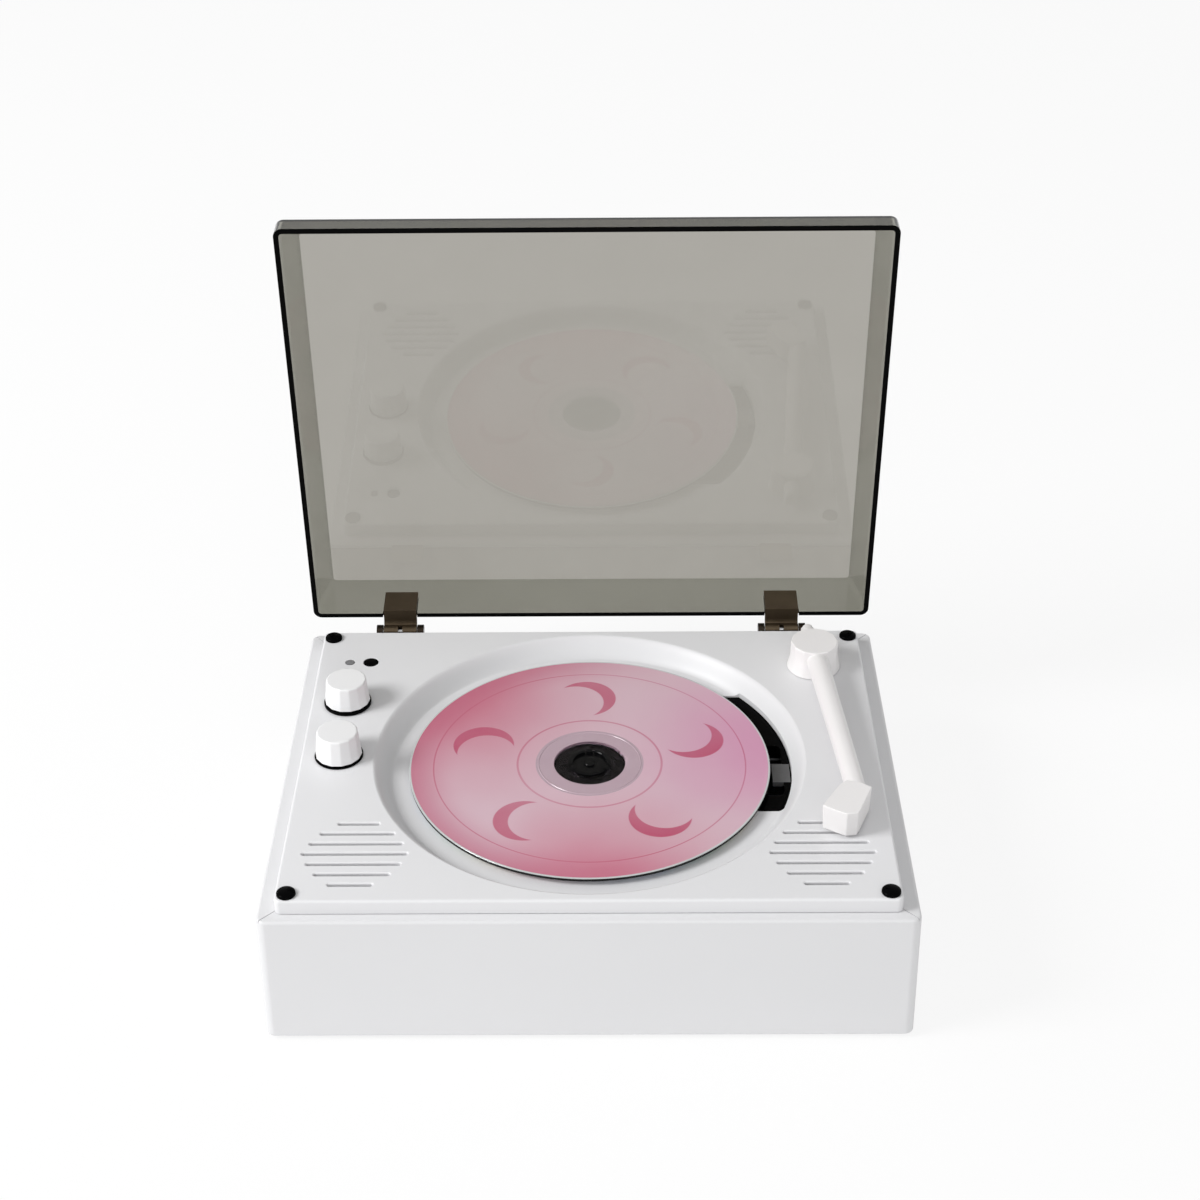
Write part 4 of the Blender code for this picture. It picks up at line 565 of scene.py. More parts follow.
strip_grey = Finish("strip_grey", (0.085, 0.085, 0.088), 0.35)
strip_marks = strip_grey.marks(size=0.0015, detail=4.0)
strip_grey.set(Base_Color=strip_grey.mix(strip_marks, (0.075, 0.075, 0.078), (0.11, 0.11, 0.113)),
               Roughness=0.32 + strip_marks * 0.1)
dress(strip_grey, "window_bracket")

nylon = Finish("gear_nylon", (0.72, 0.70, 0.63), 0.45)
nylon.wear(size=0.002, low=0.4, spread=0.15)
dress(nylon, "drive_gear", "motor_pinion")

lens_glass = Finish("lens_glass", (0.20, 0.24, 0.38), 0.05)
lens_glass.wear(size=0.002, low=0.03, spread=0.05)
dress(lens_glass, "pickup_lens")

# Top deck: one white moulding that stands on the ledge. A soft lip turns down into the dished disc well,
# whose floor has a window cut out for the pickup, and seven slots a side with softened rims let sound out.

DECK_LOW, DECK_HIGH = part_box("top_deck")
DECK_CORNER = 0.0020
DECK_EDGE = 0.0009
DECK_FOOT = 0.0004
DECK_PLATE = 0.0025
DECK_SKIRT = 0.0022
WELL_FOOT = 0.0655
WELL_SLOPE = 0.0065
WELL_DROP = 0.0065
WELL_FLOOR = 0.0020
WELL_WALL = 0.0016
WELL_STEPS = 24
WELL_UNDER_STEPS = 6
WELL_LIFT = 0.00002
HUB_OPENING = 0.0140
WINDOW_RADIUS = 0.0673
WINDOW_LEFT = 0.0130
WINDOW_FRONT = -0.0228
WINDOW_BACK = 0.0425
SLOT_WIDTH = 0.0012
SLOT_LENGTH = 0.0332
SLOT_PITCH = 0.0050
SLOT_SHARES = (0.40, 0.71, 0.89, 1.0, 0.89, 0.71, 0.42)
SLOT_LIP = 0.0006
SPEAKER = middle(*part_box("speaker_right"))
HOLE_LIP = 0.00015
HOLE_RADII = {"cap_front_left": 0.0015, "cap_back_left": 0.0015, "cap_front_right": 0.0015,
              "cap_back_right": 0.0015, "power_light": 0.0017, "remote_window": 0.0027,
              "volume_shaft": 0.0036, "mode_shaft": 0.0036, "arm_post": 0.0028}

deck_white = satin_white("deck_white")
deck_width, deck_depth = DECK_HIGH.x - DECK_LOW.x, DECK_HIGH.y - DECK_LOW.y
deck_middle = (middle(DECK_LOW.x, DECK_HIGH.x), middle(DECK_LOW.y, DECK_HIGH.y))
ledge = BOX_HIGH.z + SEAT_GAP


def deck_outline(inset):
    return rounded_rectangle(deck_width, deck_depth, DECK_CORNER, deck_middle, inset)


def well_side(steps):
    """The well's side from its lip to its foot, as radii and drops."""
    side = []
    for step in range(steps, -1, -1):
        share = step / steps
        side.append((WELL_FOOT + share * WELL_SLOPE, -WELL_DROP * (1 - share * share * (3 - 2 * share))))
    return side


def round_outline(x, y, radius, points=64):
    turns = [2 * math.pi * i / points for i in range(points)]
    return lambda inset: [(x + (radius - inset) * math.cos(turn), y + (radius - inset) * math.sin(turn))
                          for turn in turns]


def slot_outline(x, y, length, width, points=9):
    def outline(inset):
        ring = []
        for side, first in ((1, -math.pi / 2), (-1, math.pi / 2)):
            for i in range(points):
                turn = first + math.pi * i / (points - 1)
                ring.append((x + side * (length - width) / 2 + (width / 2 - inset) * math.cos(turn),
                             y + (width / 2 - inset) * math.sin(turn)))
        return ring
    return outline


def window_outline(inset, steps=64):
    """The window's edge: an arc round the disc's centre, closed by three straight sides."""
    first, last = math.asin(WINDOW_FRONT / WINDOW_RADIUS), math.asin(WINDOW_BACK / WINDOW_RADIUS)
    turns = [first + (last - first) * i / steps for i in range(steps + 1)]
    arc = [(CENTRE.x + WINDOW_RADIUS * math.cos(turn), CENTRE.y + WINDOW_RADIUS * math.sin(turn))
           for turn in turns]
    left = CENTRE.x + WINDOW_LEFT
    return arc + [(left, CENTRE.y + WINDOW_BACK), (left, CENTRE.y + WINDOW_FRONT)]


def lipped(lip, steps=5):
    """Levels of a cutter that goes through the deck and flares at its top face."""
    turns = [math.pi / 2 * i / steps for i in range(steps + 1)]
    flare = [(DECK_TOP - lip * (1 - math.sin(turn)), -lip * (1 - math.cos(turn))) for turn in turns]
    return [(DECK_TOP - DECK_PLATE - OVERRUN, 0)] + flare + [(DECK_TOP + OVERRUN, -lip)]


deck_levels = soft_levels(ledge, DECK_TOP, DECK_FOOT, DECK_EDGE)
deck_moulding = made_of("deck_moulding", stacked(deck_outline, deck_levels), deck_white)
carve(deck_moulding, [stacked(lambda inset: deck_outline(DECK_SKIRT),
                              [(ledge - OVERRUN, 0), (DECK_TOP - DECK_PLATE, 0)])])
bowl = [(WELL_FOOT + WELL_SLOPE + WELL_WALL, -DECK_PLATE / 2)]
bowl += [(radius + WELL_WALL, drop - WELL_FLOOR) for radius, drop in well_side(WELL_UNDER_STEPS)
         if drop - WELL_FLOOR < -DECK_PLATE]
carve(deck_moulding, [skinned(turned(bowl, CENTRE, sides=128))], "UNION")
well = [(WELL_FOOT + WELL_SLOPE, OVERRUN), (WELL_FOOT + WELL_SLOPE, WELL_LIFT)] + well_side(WELL_STEPS)[1:]
carve(deck_moulding, [skinned(turned(well, CENTRE, sides=256))])
through = [(DECK_LOW.z - OVERRUN, 0), (DECK_TOP + OVERRUN, 0)]
carve(deck_moulding, [stacked(window_outline, through)])
carve(deck_moulding, [stacked(round_outline(CENTRE.x, CENTRE.y, HUB_OPENING), through)])

openings = []
for side in (-1, 1):
    for row, share in enumerate(SLOT_SHARES):
        y = SPEAKER.y + ((len(SLOT_SHARES) - 1) / 2 - row) * SLOT_PITCH
        slot = slot_outline(side * SPEAKER.x, y, SLOT_LENGTH * share, SLOT_WIDTH)
        openings.append(stacked(slot, lipped(SLOT_LIP)))
for node, radius in HOLE_RADII.items():
    place = middle(*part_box(node))
    openings.append(stacked(round_outline(place.x, place.y, radius), lipped(HOLE_LIP)))
carve(deck_moulding, openings)
stands_for(smooth(deck_moulding), "base", "white_plastic", "top_deck")

# Caps: four domes moulded in glossy black ABS, one at each corner of the deck. Each is pressed into its
# hole by a short stem.

CAP_RIM = 0.0005
CAP_STEM = 0.0012
CAP_STEPS = 12

for corner in CORNERS:
    low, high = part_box("cap_" + corner)
    centre = middle(low, high)
    radius, seat = (high.x - low.x) / 2, DECK_TOP + SEAT_GAP
    rise = high.z - seat - CAP_RIM
    turns = [math.pi / 2 * i / CAP_STEPS for i in range(1, CAP_STEPS + 1)]
    dome = [(radius * math.sin(turn), seat + CAP_RIM + rise * math.cos(turn)) for turn in turns]
    profile = dome + [(radius, seat), (CAP_STEM, seat), (CAP_STEM, low.z)]
    cap = made_of("corner_cap_" + corner, upright(profile, centre, sides=64), black_gloss)
    stands_for(smooth(cap), "base", "black_plastic", "cap_" + corner)

# Power light and remote window: a small clear grey lens over the lamp and a black infrared lens, both pressed
# into the deck and just proud of it.

lamp_lens = Finish("lamp_lens", (0.20, 0.20, 0.21), 0.12)
lamp_lens.wear(size=0.001, low=0.08, spread=0.1)
LENS_CROWN = 0.0002
LENS_STEPS = 8

for node, name, finish, slot in (("power_light", "lamp_dome", lamp_lens, "led_grey"),
                                 ("remote_window", "infrared_lens", black_gloss, "black_plastic")):
    low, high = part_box(node)
    centre = middle(low, high)
    radius = (high.x - low.x) / 2
    crown = [(radius * i / LENS_STEPS, high.z - LENS_CROWN * i * i / LENS_STEPS ** 2)
             for i in range(1, LENS_STEPS + 1)]
    lens = made_of(name, upright(crown + [(radius, low.z)], centre, sides=48), finish)
    stands_for(smooth(lens), "base", slot, node)

# Speakers: two small paper cones in steel baskets. They hang from the deck's under side, one below each
# group of slots.

cone = Finish("speaker_cone", (0.03, 0.03, 0.03), 0.8)
cone_grain = cone.marks(size=0.0005)
cone.set(Normal=cone.bump(cone_grain, strength=0.5, distance=0.00005))
dress(cone, "speaker_left", "speaker_right")

# Knobs: white ABS caps with fourteen soft-edged flats that widen to the foot, pushed on steel shafts over
# black rings. The volume knob's ring stands higher than the mode knob's.

KNOB_FLATS = 14
KNOB_TOP_RADIUS = 0.0069
KNOB_FOOT_RADIUS = 0.0078
KNOB_EDGE = 0.0006
FLAT_SHARPNESS = 160
FLAT_POINTS = 12
SHAFT_BORE = 0.0031
RING_BORE = 0.0036


def soft_polygon(centre, radius, height, flats, turn=0.0, roundness=0.0):
    """A ring with flats whose corners are soft. Roundness 1 makes it a circle."""
    ring = []
    for i in range(flats * FLAT_POINTS):
        angle = 2 * math.pi * i / (flats * FLAT_POINTS)
        faced = sum(max(math.cos(angle - turn - 2 * math.pi * flat / flats), 0) ** FLAT_SHARPNESS
                    for flat in range(flats))
        reach = radius * math.cos(math.pi / flats) / faced ** (1 / FLAT_SHARPNESS)
        reach += (radius - reach) * roundness
        ring.append(Vector((centre.x + reach * math.cos(angle), centre.y + reach * math.sin(angle), height)))
    return ring


knob_white = satin_white("knob_white", (0.885, 0.885, 0.89), (0.855, 0.855, 0.86), 0.30)
for kind in ("volume", "mode"):
    low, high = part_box(kind + "_knob")
    centre = middle(low, high)
    ring_low, ring_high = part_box(kind + "_ring")
    rings = []
    for height, inset in soft_levels(low.z, high.z, KNOB_EDGE / 2, KNOB_EDGE):
        share = (high.z - height) / (high.z - low.z)
        radius = KNOB_TOP_RADIUS + (KNOB_FOOT_RADIUS - KNOB_TOP_RADIUS) * share - inset
        rings.append(soft_polygon(centre, radius, height, KNOB_FLATS, math.pi / KNOB_FLATS))
    knob = made_of(kind + "_cap", skinned(rings), knob_white)
    _, shaft_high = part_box(kind + "_shaft")
    bore = [(SHAFT_BORE, low.z - OVERRUN), (SHAFT_BORE, shaft_high.z + SEAT_GAP)]
    carve(knob, [upright(bore, centre, sides=48)])
    stands_for(smooth(knob), kind, "white_plastic", kind + "_knob")
    ring_radius = (ring_high.x - ring_low.x) / 2
    edge = (ring_high.z - ring_low.z) / 4
    levels = soft_levels(ring_low.z, ring_high.z, edge, edge)
    profile = [(ring_radius - inset, height) for height, inset in levels]
    profile += [(RING_BORE, ring_high.z), (RING_BORE, ring_low.z)]
    washer = made_of(kind + "_washer", upright(profile, centre, closed=True), black_gloss)
    stands_for(smooth(washer), "base", "black_plastic", kind + "_ring")
dress(plain_steel, "volume_shaft", "mode_shaft", "volume_control", "mode_control")

# Disc hub: a turntable and centre boss in glossy black, moulded in one. Three sprung clips, cut free at their
# sides, press a small nose each over the edge of the disc's hole.

HUB_LOW, HUB_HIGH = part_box("disc_hub")
TABLE_RADIUS = (HUB_HIGH.x - HUB_LOW.x) / 2
BOSS_RADIUS = 0.0073
BOSS_RIM = 0.0017
BOSS_DISH = 0.0011
HUB_EYE = 0.0018
HUB_SOFT = 0.00025
HUB_ROUNDING = 0.00008
CLIP_COUNT = 3
CLIP_WIDTH = 0.0026
CLIP_SLOT = 0.0004
CLIP_NOSE = 0.0006
NOSE_HEIGHT = 0.0005
NOSE_WIDTH_SHARE = 0.42
NOSE_SHARES = ((0, 0.1), (0.7, -0.1), (1.3, -0.5), (1, -1.2), (0, -1.3))
TABLE_THICKNESS = 0.0012
BOSS_TOP = HUB_HIGH.z
TABLE_TOP = DISC_LOW.z - SEAT_GAP
TABLE_UNDER = TABLE_TOP - TABLE_THICKNESS

hub_black = Finish("hub_black", (0.003, 0.003, 0.0034), 0.12, Specular_IOR_Level=0.10)
hub_black.wear(size=0.003, low=0.08, spread=0.06)

rim, dish = BOSS_RADIUS - BOSS_RIM, BOSS_TOP - BOSS_DISH
hub_profile = [(HUB_EYE - HUB_SOFT, BOSS_TOP - BOSS_DISH / 3),
               (HUB_EYE, BOSS_TOP - BOSS_DISH / 3 - HUB_SOFT), (HUB_EYE, dish), (rim, dish),
               (rim, BOSS_TOP - HUB_SOFT), (rim + HUB_SOFT, BOSS_TOP), (BOSS_RADIUS - 2 * HUB_SOFT, BOSS_TOP),
               (BOSS_RADIUS - HUB_SOFT / 2, BOSS_TOP - HUB_SOFT / 2), (BOSS_RADIUS, BOSS_TOP - 2 * HUB_SOFT),
               (BOSS_RADIUS, TABLE_TOP), (TABLE_RADIUS - HUB_SOFT, TABLE_TOP),
               (TABLE_RADIUS, TABLE_TOP - HUB_SOFT), (TABLE_RADIUS, TABLE_UNDER),
               (BOSS_RIM + HUB_EYE, TABLE_UNDER), (BOSS_RIM + HUB_EYE, HUB_LOW.z)]
hub_table = made_of("hub_table", upright(hub_profile, CENTRE, sides=128), hub_black)
cuts, noses = [], []
for clip in range(CLIP_COUNT):
    turn = math.pi / 2 + 2 * math.pi * clip / CLIP_COUNT
    out = Vector((math.cos(turn), math.sin(turn), 0))
    across = Vector((-math.sin(turn), math.cos(turn), 0))
    spot = Vector((CENTRE.x, CENTRE.y, BOSS_TOP))
    for side in (-1, 1):
        slit = block((BOSS_RADIUS - 2 * BOSS_RIM, -CLIP_SLOT / 2, -BOSS_DISH),
                     (BOSS_RADIUS + BOSS_RIM, CLIP_SLOT / 2, OVERRUN))
        bmesh.ops.rotate(slit, matrix=Matrix.Rotation(turn, 3, "Z"), verts=slit.verts)
        bmesh.ops.translate(slit, vec=spot + across * side * CLIP_WIDTH / 2, verts=slit.verts)
        cuts.append(slit)
    nose = [spot + out * (BOSS_RADIUS - CLIP_NOSE + CLIP_NOSE * reach) + Vector((0, 0, NOSE_HEIGHT * rise))
            for reach, rise in NOSE_SHARES]
    ends = [[point + across * end * (CLIP_WIDTH - CLIP_SLOT) * NOSE_WIDTH_SHARE for point in nose]
            for end in (-1, 1)]
    noses.append(skinned(ends))
carve(hub_table, cuts)
carve(hub_table, noses, "UNION")
stands_for(smooth(hub_table, rounding=HUB_ROUNDING), "turntable", "black_plastic", "disc_hub")

# Compact disc: clear polycarbonate, printed on its upper face in rose and lilac under a gloss lacquer, with a
# bare clear ring round the hole. Its edge's side is painted near black, as painted shade of the gap under it,
# and its under side is the silver playing face.

DISC_RADIUS = 0.0600
DISC_HOLE = 0.0075
DISC_EDGE = 0.00015
CLEAR_TO = 0.0119
PRINT_FROM = 0.0180
PRINT_TO = 0.0594
STACK_RING = 0.0168
DEEP_ROSE = (0.510, 0.085, 0.175)
ROSE = (0.590, 0.175, 0.260)
PALE_PINK = (0.685, 0.475, 0.550)
LILAC = (0.650, 0.285, 0.455)
MOTIF_ROSE = (0.480, 0.040, 0.125)

disc_print = Finish("disc_print", PALE_PINK, 0.22, Coat_Weight=0.6, Coat_Roughness=0.06)
point = disc_print.place()
x, y, _ = disc_print.parts(point)
x, y = (x - CENTRE.x) / DISC_RADIUS, (y - CENTRE.y) / DISC_RADIUS
spread = (x * x + y * y) ** 0.5
blur = disc_print.noise(point, size=0.05, detail=2.0) - 0.5


def glow_at(at_x, at_y, reach):
    """A soft patch of ink, 1 at its middle and 0 at its reach, both in disc radii."""
    gone = ((x - at_x) * (x - at_x) + (y - at_y) * (y - at_y)) ** 0.5 + blur * 0.5
    return gone.below(reach / 2, reach)


ink = disc_print.mix(glow_at(-0.85, 0.62, 1.15), PALE_PINK, ROSE)
ink = disc_print.mix(glow_at(0.15, -1.08, 0.95), ink, ROSE)
ink = disc_print.mix(glow_at(0.95, 0.15, 0.95) * 0.9, ink, LILAC)
ink = disc_print.mix(spread.above(0.90, 0.36) * (1.0 - x).above(0.9, 1.2) * 0.75, ink, DEEP_ROSE)

# The print is measured in disc radii, and SICKLE_CUT is a share of the sickle's radius.
SICKLES = 5
SICKLE_START = math.radians(20)
SICKLE_LEAN = 2.1
SICKLE_PLACE = 0.62
SICKLE_RADIUS = 0.17
SICKLE_SHIFT = 0.075
SICKLE_CUT = 0.96
SICKLE_BLUR = 0.008
HAIRLINES = ((0.40, 0.006), (0.865, 0.004))
HAIRLINE_BLUR = 0.003
HAIRLINE_INK = 0.6


def crescent(at_x, at_y, lean_x, lean_y):
    """A sickle shape: one round patch with another, set off to one side, taken out of it."""
    outer = ((x - at_x) * (x - at_x) + (y - at_y) * (y - at_y)) ** 0.5
    inner = ((x - at_x - lean_x) * (x - at_x - lean_x) + (y - at_y - lean_y) * (y - at_y - lean_y)) ** 0.5
    return outer.below(SICKLE_RADIUS, SICKLE_BLUR) * inner.above(SICKLE_RADIUS * SICKLE_CUT, SICKLE_BLUR)


motif = None
for sickle in range(SICKLES):
    turn = SICKLE_START + 2 * math.pi * sickle / SICKLES
    mark = crescent(SICKLE_PLACE * math.cos(turn), SICKLE_PLACE * math.sin(turn),
                    SICKLE_SHIFT * math.cos(turn + SICKLE_LEAN), SICKLE_SHIFT * math.sin(turn + SICKLE_LEAN))
    motif = mark if motif is None else motif + mark
for ring, width in HAIRLINES:
    line = spread.above(ring - width, HAIRLINE_BLUR) * spread.below(ring + width, HAIRLINE_BLUR)
    motif = motif + line * HAIRLINE_INK
strength_of_ink = (0.78 + blur * 0.9) * motif.math("MINIMUM", motif, 1.0)
ink = disc_print.mix(strength_of_ink, ink, MOTIF_ROSE)
disc_print.set(Base_Color=ink, Roughness=0.20 + blur * 0.08)

disc_clear = Finish("disc_clear", (0.80, 0.76, 0.80), 0.06, Transmission_Weight=1.0, IOR=1.15)
clear_marks = disc_clear.marks(size=0.006)
disc_clear.set(Base_Color=disc_clear.mix(clear_marks, (0.66, 0.60, 0.66), (0.76, 0.71, 0.76)),
               Roughness=0.05 + clear_marks * 0.10)
disc_frost = Finish("disc_frost", (0.50, 0.40, 0.46), 0.16, Transmission_Weight=0.15, IOR=1.58)
frost_cloud = disc_frost.marks(size=0.010)
disc_frost.set(Base_Color=disc_frost.mix(frost_cloud, (0.54, 0.385, 0.455), (0.60, 0.455, 0.520)),
               Roughness=0.12 + frost_cloud * 0.10)
# Painted shade: the disc's side and lower edge are coloured near black for the shadowed gap beneath the disc.
disc_edge_painted_shade = Finish("disc_edge_painted_shade", (0.02, 0.02, 0.02), 0.12, Specular_IOR_Level=0.10)
edge_shade_marks = disc_edge_painted_shade.marks(size=0.01)
disc_edge_painted_shade.set(Base_Color=disc_edge_painted_shade.mix(edge_shade_marks, (0.008, 0.008, 0.008), (0.026, 0.025, 0.027)))
disc_rim = Finish("disc_rim", (0.58, 0.60, 0.60), 0.18)
rim_marks = disc_rim.marks(size=0.02)
disc_rim.set(Base_Color=disc_rim.mix(rim_marks, (0.50, 0.52, 0.52), (0.66, 0.68, 0.68)))
disc_silver = Finish("disc_silver", (0.80, 0.80, 0.82), 0.08, Metallic=1.0)
x, y, _ = disc_silver.parts(disc_silver.place())
x, y = (x - CENTRE.x) / DISC_RADIUS, (y - CENTRE.y) / DISC_RADIUS
fan = x.math("ARCTAN2", y, x) * (2 / math.pi)
fan = fan - fan.math("FLOOR", fan)
# Painted sheen: the rainbow that light splits off the tracks of a playing face is painted on as fixed
# coloured sectors.
RAINBOW_SHEEN_COLOURS = ((0.0, (0.80, 0.80, 0.82)), (0.25, (0.62, 0.72, 0.86)), (0.45, (0.66, 0.84, 0.70)),
               (0.62, (0.88, 0.82, 0.60)), (0.78, (0.88, 0.66, 0.70)), (1.0, (0.80, 0.80, 0.82)))
disc_silver.set(Base_Color=disc_silver.node("ShaderNodeValToRGB", {"stops": RAINBOW_SHEEN_COLOURS}, {0: fan}))

upper, under = DISC_HIGH.z, DISC_LOW.z
disc_profile = [(DISC_HOLE, under), (DISC_HOLE, upper), (CLEAR_TO, upper), (STACK_RING, upper),
                (STACK_RING + DISC_EDGE, upper + DISC_EDGE), (STACK_RING + 2 * DISC_EDGE, upper + DISC_EDGE),
                (STACK_RING + 3 * DISC_EDGE, upper), (PRINT_FROM, upper), (PRINT_TO, upper),
                (DISC_RADIUS - DISC_EDGE, upper), (DISC_RADIUS, upper - DISC_EDGE),
                (DISC_RADIUS, under + DISC_EDGE), (DISC_RADIUS - DISC_EDGE, under), (PRINT_FROM, under),
                (CLEAR_TO, under)]
printed_disc = made_of("printed_disc", upright(disc_profile, CENTRE, sides=256, closed=True),
                       disc_print, disc_clear, disc_edge_painted_shade, disc_rim, disc_silver, disc_frost)
PRINT, CLEAR, EDGE, RIM, SILVER, FROST = range(6)
FACES_UP = 0.5
FACES_DOWN = -0.9
# Faces round the edge that don't look up take the painted shade of the gap under the disc.
for face in printed_disc.data.polygons:
    reach = (face.center - Vector((CENTRE.x, CENTRE.y, face.center.z))).length
    face.material_index = PRINT
    if reach < CLEAR_TO:
        face.material_index = CLEAR
    elif reach < PRINT_FROM:
        face.material_index = FROST
    elif face.normal.z < FACES_DOWN:
        face.material_index = SILVER
    elif reach > PRINT_TO:
        face.material_index = RIM if face.normal.z > FACES_UP else EDGE
stands_for(smooth(printed_disc), "turntable", "disc_print", "compact_disc")

# Tonearm: an ABS drum with twelve soft flats that swings on its post, a short tapered stub behind it, a
# round tube glued into it, and a faceted head over the right-hand slots.

DRUM_FLATS = 12
DRUM_RADIUS = 0.0083
DRUM_FOOT = 0.0092
DRUM_EDGE = 0.0005
SWAY = math.radians(4.9)
DRUM_BORE = 0.00275
STUB_SHARES = ((-1, 0.0), (1, 0.0), (1, 0.66), (0.62, 0.90), (0.3, 1.0), (-0.3, 1.0), (-0.62, 0.90),
               (-1, 0.66))
STUB_HALF = 0.0031
STUB_LOW = 0.0030
STUB_TOP = 0.0088
STUB_LENGTH = 0.0068
STUB_TAPER = 0.72
STUB_ROUND_SHARE = 0.92
STUB_TIP_SHARE = 0.86
TUBE_Z = 0.0066
TUBE_RADIUS = 0.0037
TUBE_END = 0.0032
TUBE_IN_DRUM_SHARE = 0.8
TUBE_IN_HEAD_SHARE = 0.3
HEAD_REACH = 0.0796
HEAD_LENGTH = 0.0175
HEAD_WIDTH = 0.0173
HEAD_LEFT = 0.0130
HEAD_LOW = 0.0010
HEAD_TOP = 0.0102
HEAD_UNDERCUT = 0.0004
HEAD_SHARES = ((0.0, 0.56), (0.09, 0.82), (0.25, 1.0), (0.89, 0.67), (0.98, 0.61), (1.0, 0.40), (0.87, 0.21),
               (0.70, 0.0), (0.13, 0.41))
HEAD_SOFT = 0.00035
HEAD_SHARP = math.radians(15)

arm_white = satin_white("arm_white", (0.885, 0.868, 0.865), (0.858, 0.840, 0.837), 0.32)
post = middle(*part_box("arm_post"))
arm_point = Vector((post.x, post.y, DECK_TOP))
along = Vector((math.sin(SWAY), -math.cos(SWAY), 0))
across = Vector((math.cos(SWAY), math.sin(SWAY), 0))
drum_low, drum_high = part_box("arm_base")
rings = []
for height, inset in soft_levels(drum_low.z, drum_high.z, 0, DRUM_EDGE):
    share = max(1 - (height - drum_low.z) / (drum_high.z - drum_low.z) * 2, 0)
    radius = DRUM_RADIUS + (DRUM_FOOT - DRUM_RADIUS) * share - inset
    rings.append(soft_polygon(arm_point, radius, height, DRUM_FLATS, math.pi / DRUM_FLATS, share))
    if height == drum_low.z:
        waist = middle(drum_low.z, drum_high.z)
        rings.append(soft_polygon(arm_point, DRUM_RADIUS, waist, DRUM_FLATS, math.pi / DRUM_FLATS))
arm_drum = made_of("arm_drum", skinned(rings), arm_white)
stub_rings = []
for reach, share in ((DRUM_RADIUS / 2, 1.0), (DRUM_RADIUS, 1.0),
                     (DRUM_RADIUS + STUB_LENGTH * STUB_ROUND_SHARE, STUB_TAPER),
                     (DRUM_RADIUS + STUB_LENGTH, STUB_TAPER * STUB_TIP_SHARE)):
    drop = (STUB_TOP - STUB_LOW) * (1 - share) / 2
    stub_rings.append([arm_point - along * reach + across * side * STUB_HALF * share
                       + Vector((0, 0, STUB_LOW + (STUB_TOP - STUB_LOW - drop) * rise))
                       for side, rise in STUB_SHARES])
carve(arm_drum, [skinned(stub_rings)], "UNION")
drum_bore = [(DRUM_BORE, drum_low.z - OVERRUN), (DRUM_BORE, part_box("arm_post")[1].z + SEAT_GAP)]
carve(arm_drum, [upright(drum_bore, arm_point, sides=48)])
stands_for(smooth(arm_drum), "tonearm", "white_plastic", "arm_base")

tube = [(TUBE_RADIUS, DRUM_RADIUS * TUBE_IN_DRUM_SHARE), (TUBE_RADIUS, DRUM_RADIUS),
        (TUBE_END, HEAD_REACH + HEAD_LENGTH * TUBE_IN_HEAD_SHARE)]
tube_rings = turned(tube, arm_point + Vector((0, 0, TUBE_Z)), sides=64, axis=along)
arm_pipe = made_of("arm_pipe", skinned(tube_rings), arm_white)
stands_for(smooth(arm_pipe), "tonearm", "white_plastic", "arm_tube")

head_rings = []
for height, spare in ((HEAD_LOW, -HEAD_UNDERCUT), (HEAD_TOP, 0)):
    head_rings.append([
        arm_point + along * (HEAD_REACH + HEAD_LENGTH * forward_share + spare * (2 * forward_share - 1))
        + across * (HEAD_WIDTH * right_share - HEAD_LEFT + spare * (2 * right_share - 1))
        + Vector((0, 0, height)) for forward_share, right_share in HEAD_SHARES])
arm_shoe = made_of("arm_shoe", skinned(head_rings), arm_white)
stands_for(smooth(arm_shoe, rounding=HEAD_SOFT, limit=HEAD_SHARP), "tonearm", "white_plastic", "arm_head")
dress(plain_steel, "arm_post")

# Lid: a box of smoked clear acrylic, moulded and polished, with slanting sides. Its open edge is square and
# looks black, since light is held inside the wall. Two notches in its back wall take the hinge clips.

LID_DEPTH = 0.0223
LID_WALL = 0.0018
LID_STRAIGHT = 0.0065
LID_CORNER = 0.0030
LID_SIDE_INSET = 0.0040
LID_FRONT_INSET = 0.0120
LID_EDGE = 0.0008
RIM_GAP = 0.0004
PIVOT_BEHIND = 0.0048
PIVOT_BELOW = 0.0017
LID_ANGLE = math.radians(85.0)
NOTCH_HEIGHT = 0.0014
CLIP_LENGTH = 0.0120
NOTCH_GAP = 0.0003

pin = middle(*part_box("hinge_pin_left"))
lid_turn = Matrix.Translation((0, pin.y, pin.z)) @ Matrix.Rotation(-LID_ANGLE, 4, "X")
lid_rim_z = PIVOT_BELOW + RIM_GAP


def lid_ring(above, side, front, inset):
    """The lid's outline at a height above its rim, before it is swung open."""
    depth = box_depth - front - 2 * inset
    centre = (0, -(box_depth - front) / 2 - PIVOT_BEHIND)
    corner = max(LID_CORNER - inset, LID_EDGE)
    outline = rounded_rectangle(box_width - 2 * (side + inset), depth, corner, centre)
    return [lid_turn @ Vector((x, y, lid_rim_z + above)) for x, y in outline]


def slanted(above):
    """How far the sides have come in at a height, as a share of the whole."""
    return max(above - LID_STRAIGHT, 0) / (LID_DEPTH - LID_STRAIGHT)


outside = [lid_ring(0, 0, 0, LID_EDGE / 8), lid_ring(LID_EDGE / 8, 0, 0, 0), lid_ring(LID_STRAIGHT, 0, 0, 0)]
for height, inset in soft_levels(LID_STRAIGHT, LID_DEPTH, 0, LID_EDGE)[1:]:
    lean = slanted(height)
    outside.append(lid_ring(height, LID_SIDE_INSET * lean, LID_FRONT_INSET * lean, inset))
inner_top = LID_DEPTH - LID_WALL
inner_lean = slanted(inner_top)
inside = [lid_ring(0, 0, 0, LID_WALL), lid_ring(LID_STRAIGHT, 0, 0, LID_WALL),
          lid_ring(inner_top, LID_SIDE_INSET * inner_lean, LID_FRONT_INSET * inner_lean, LID_WALL)]

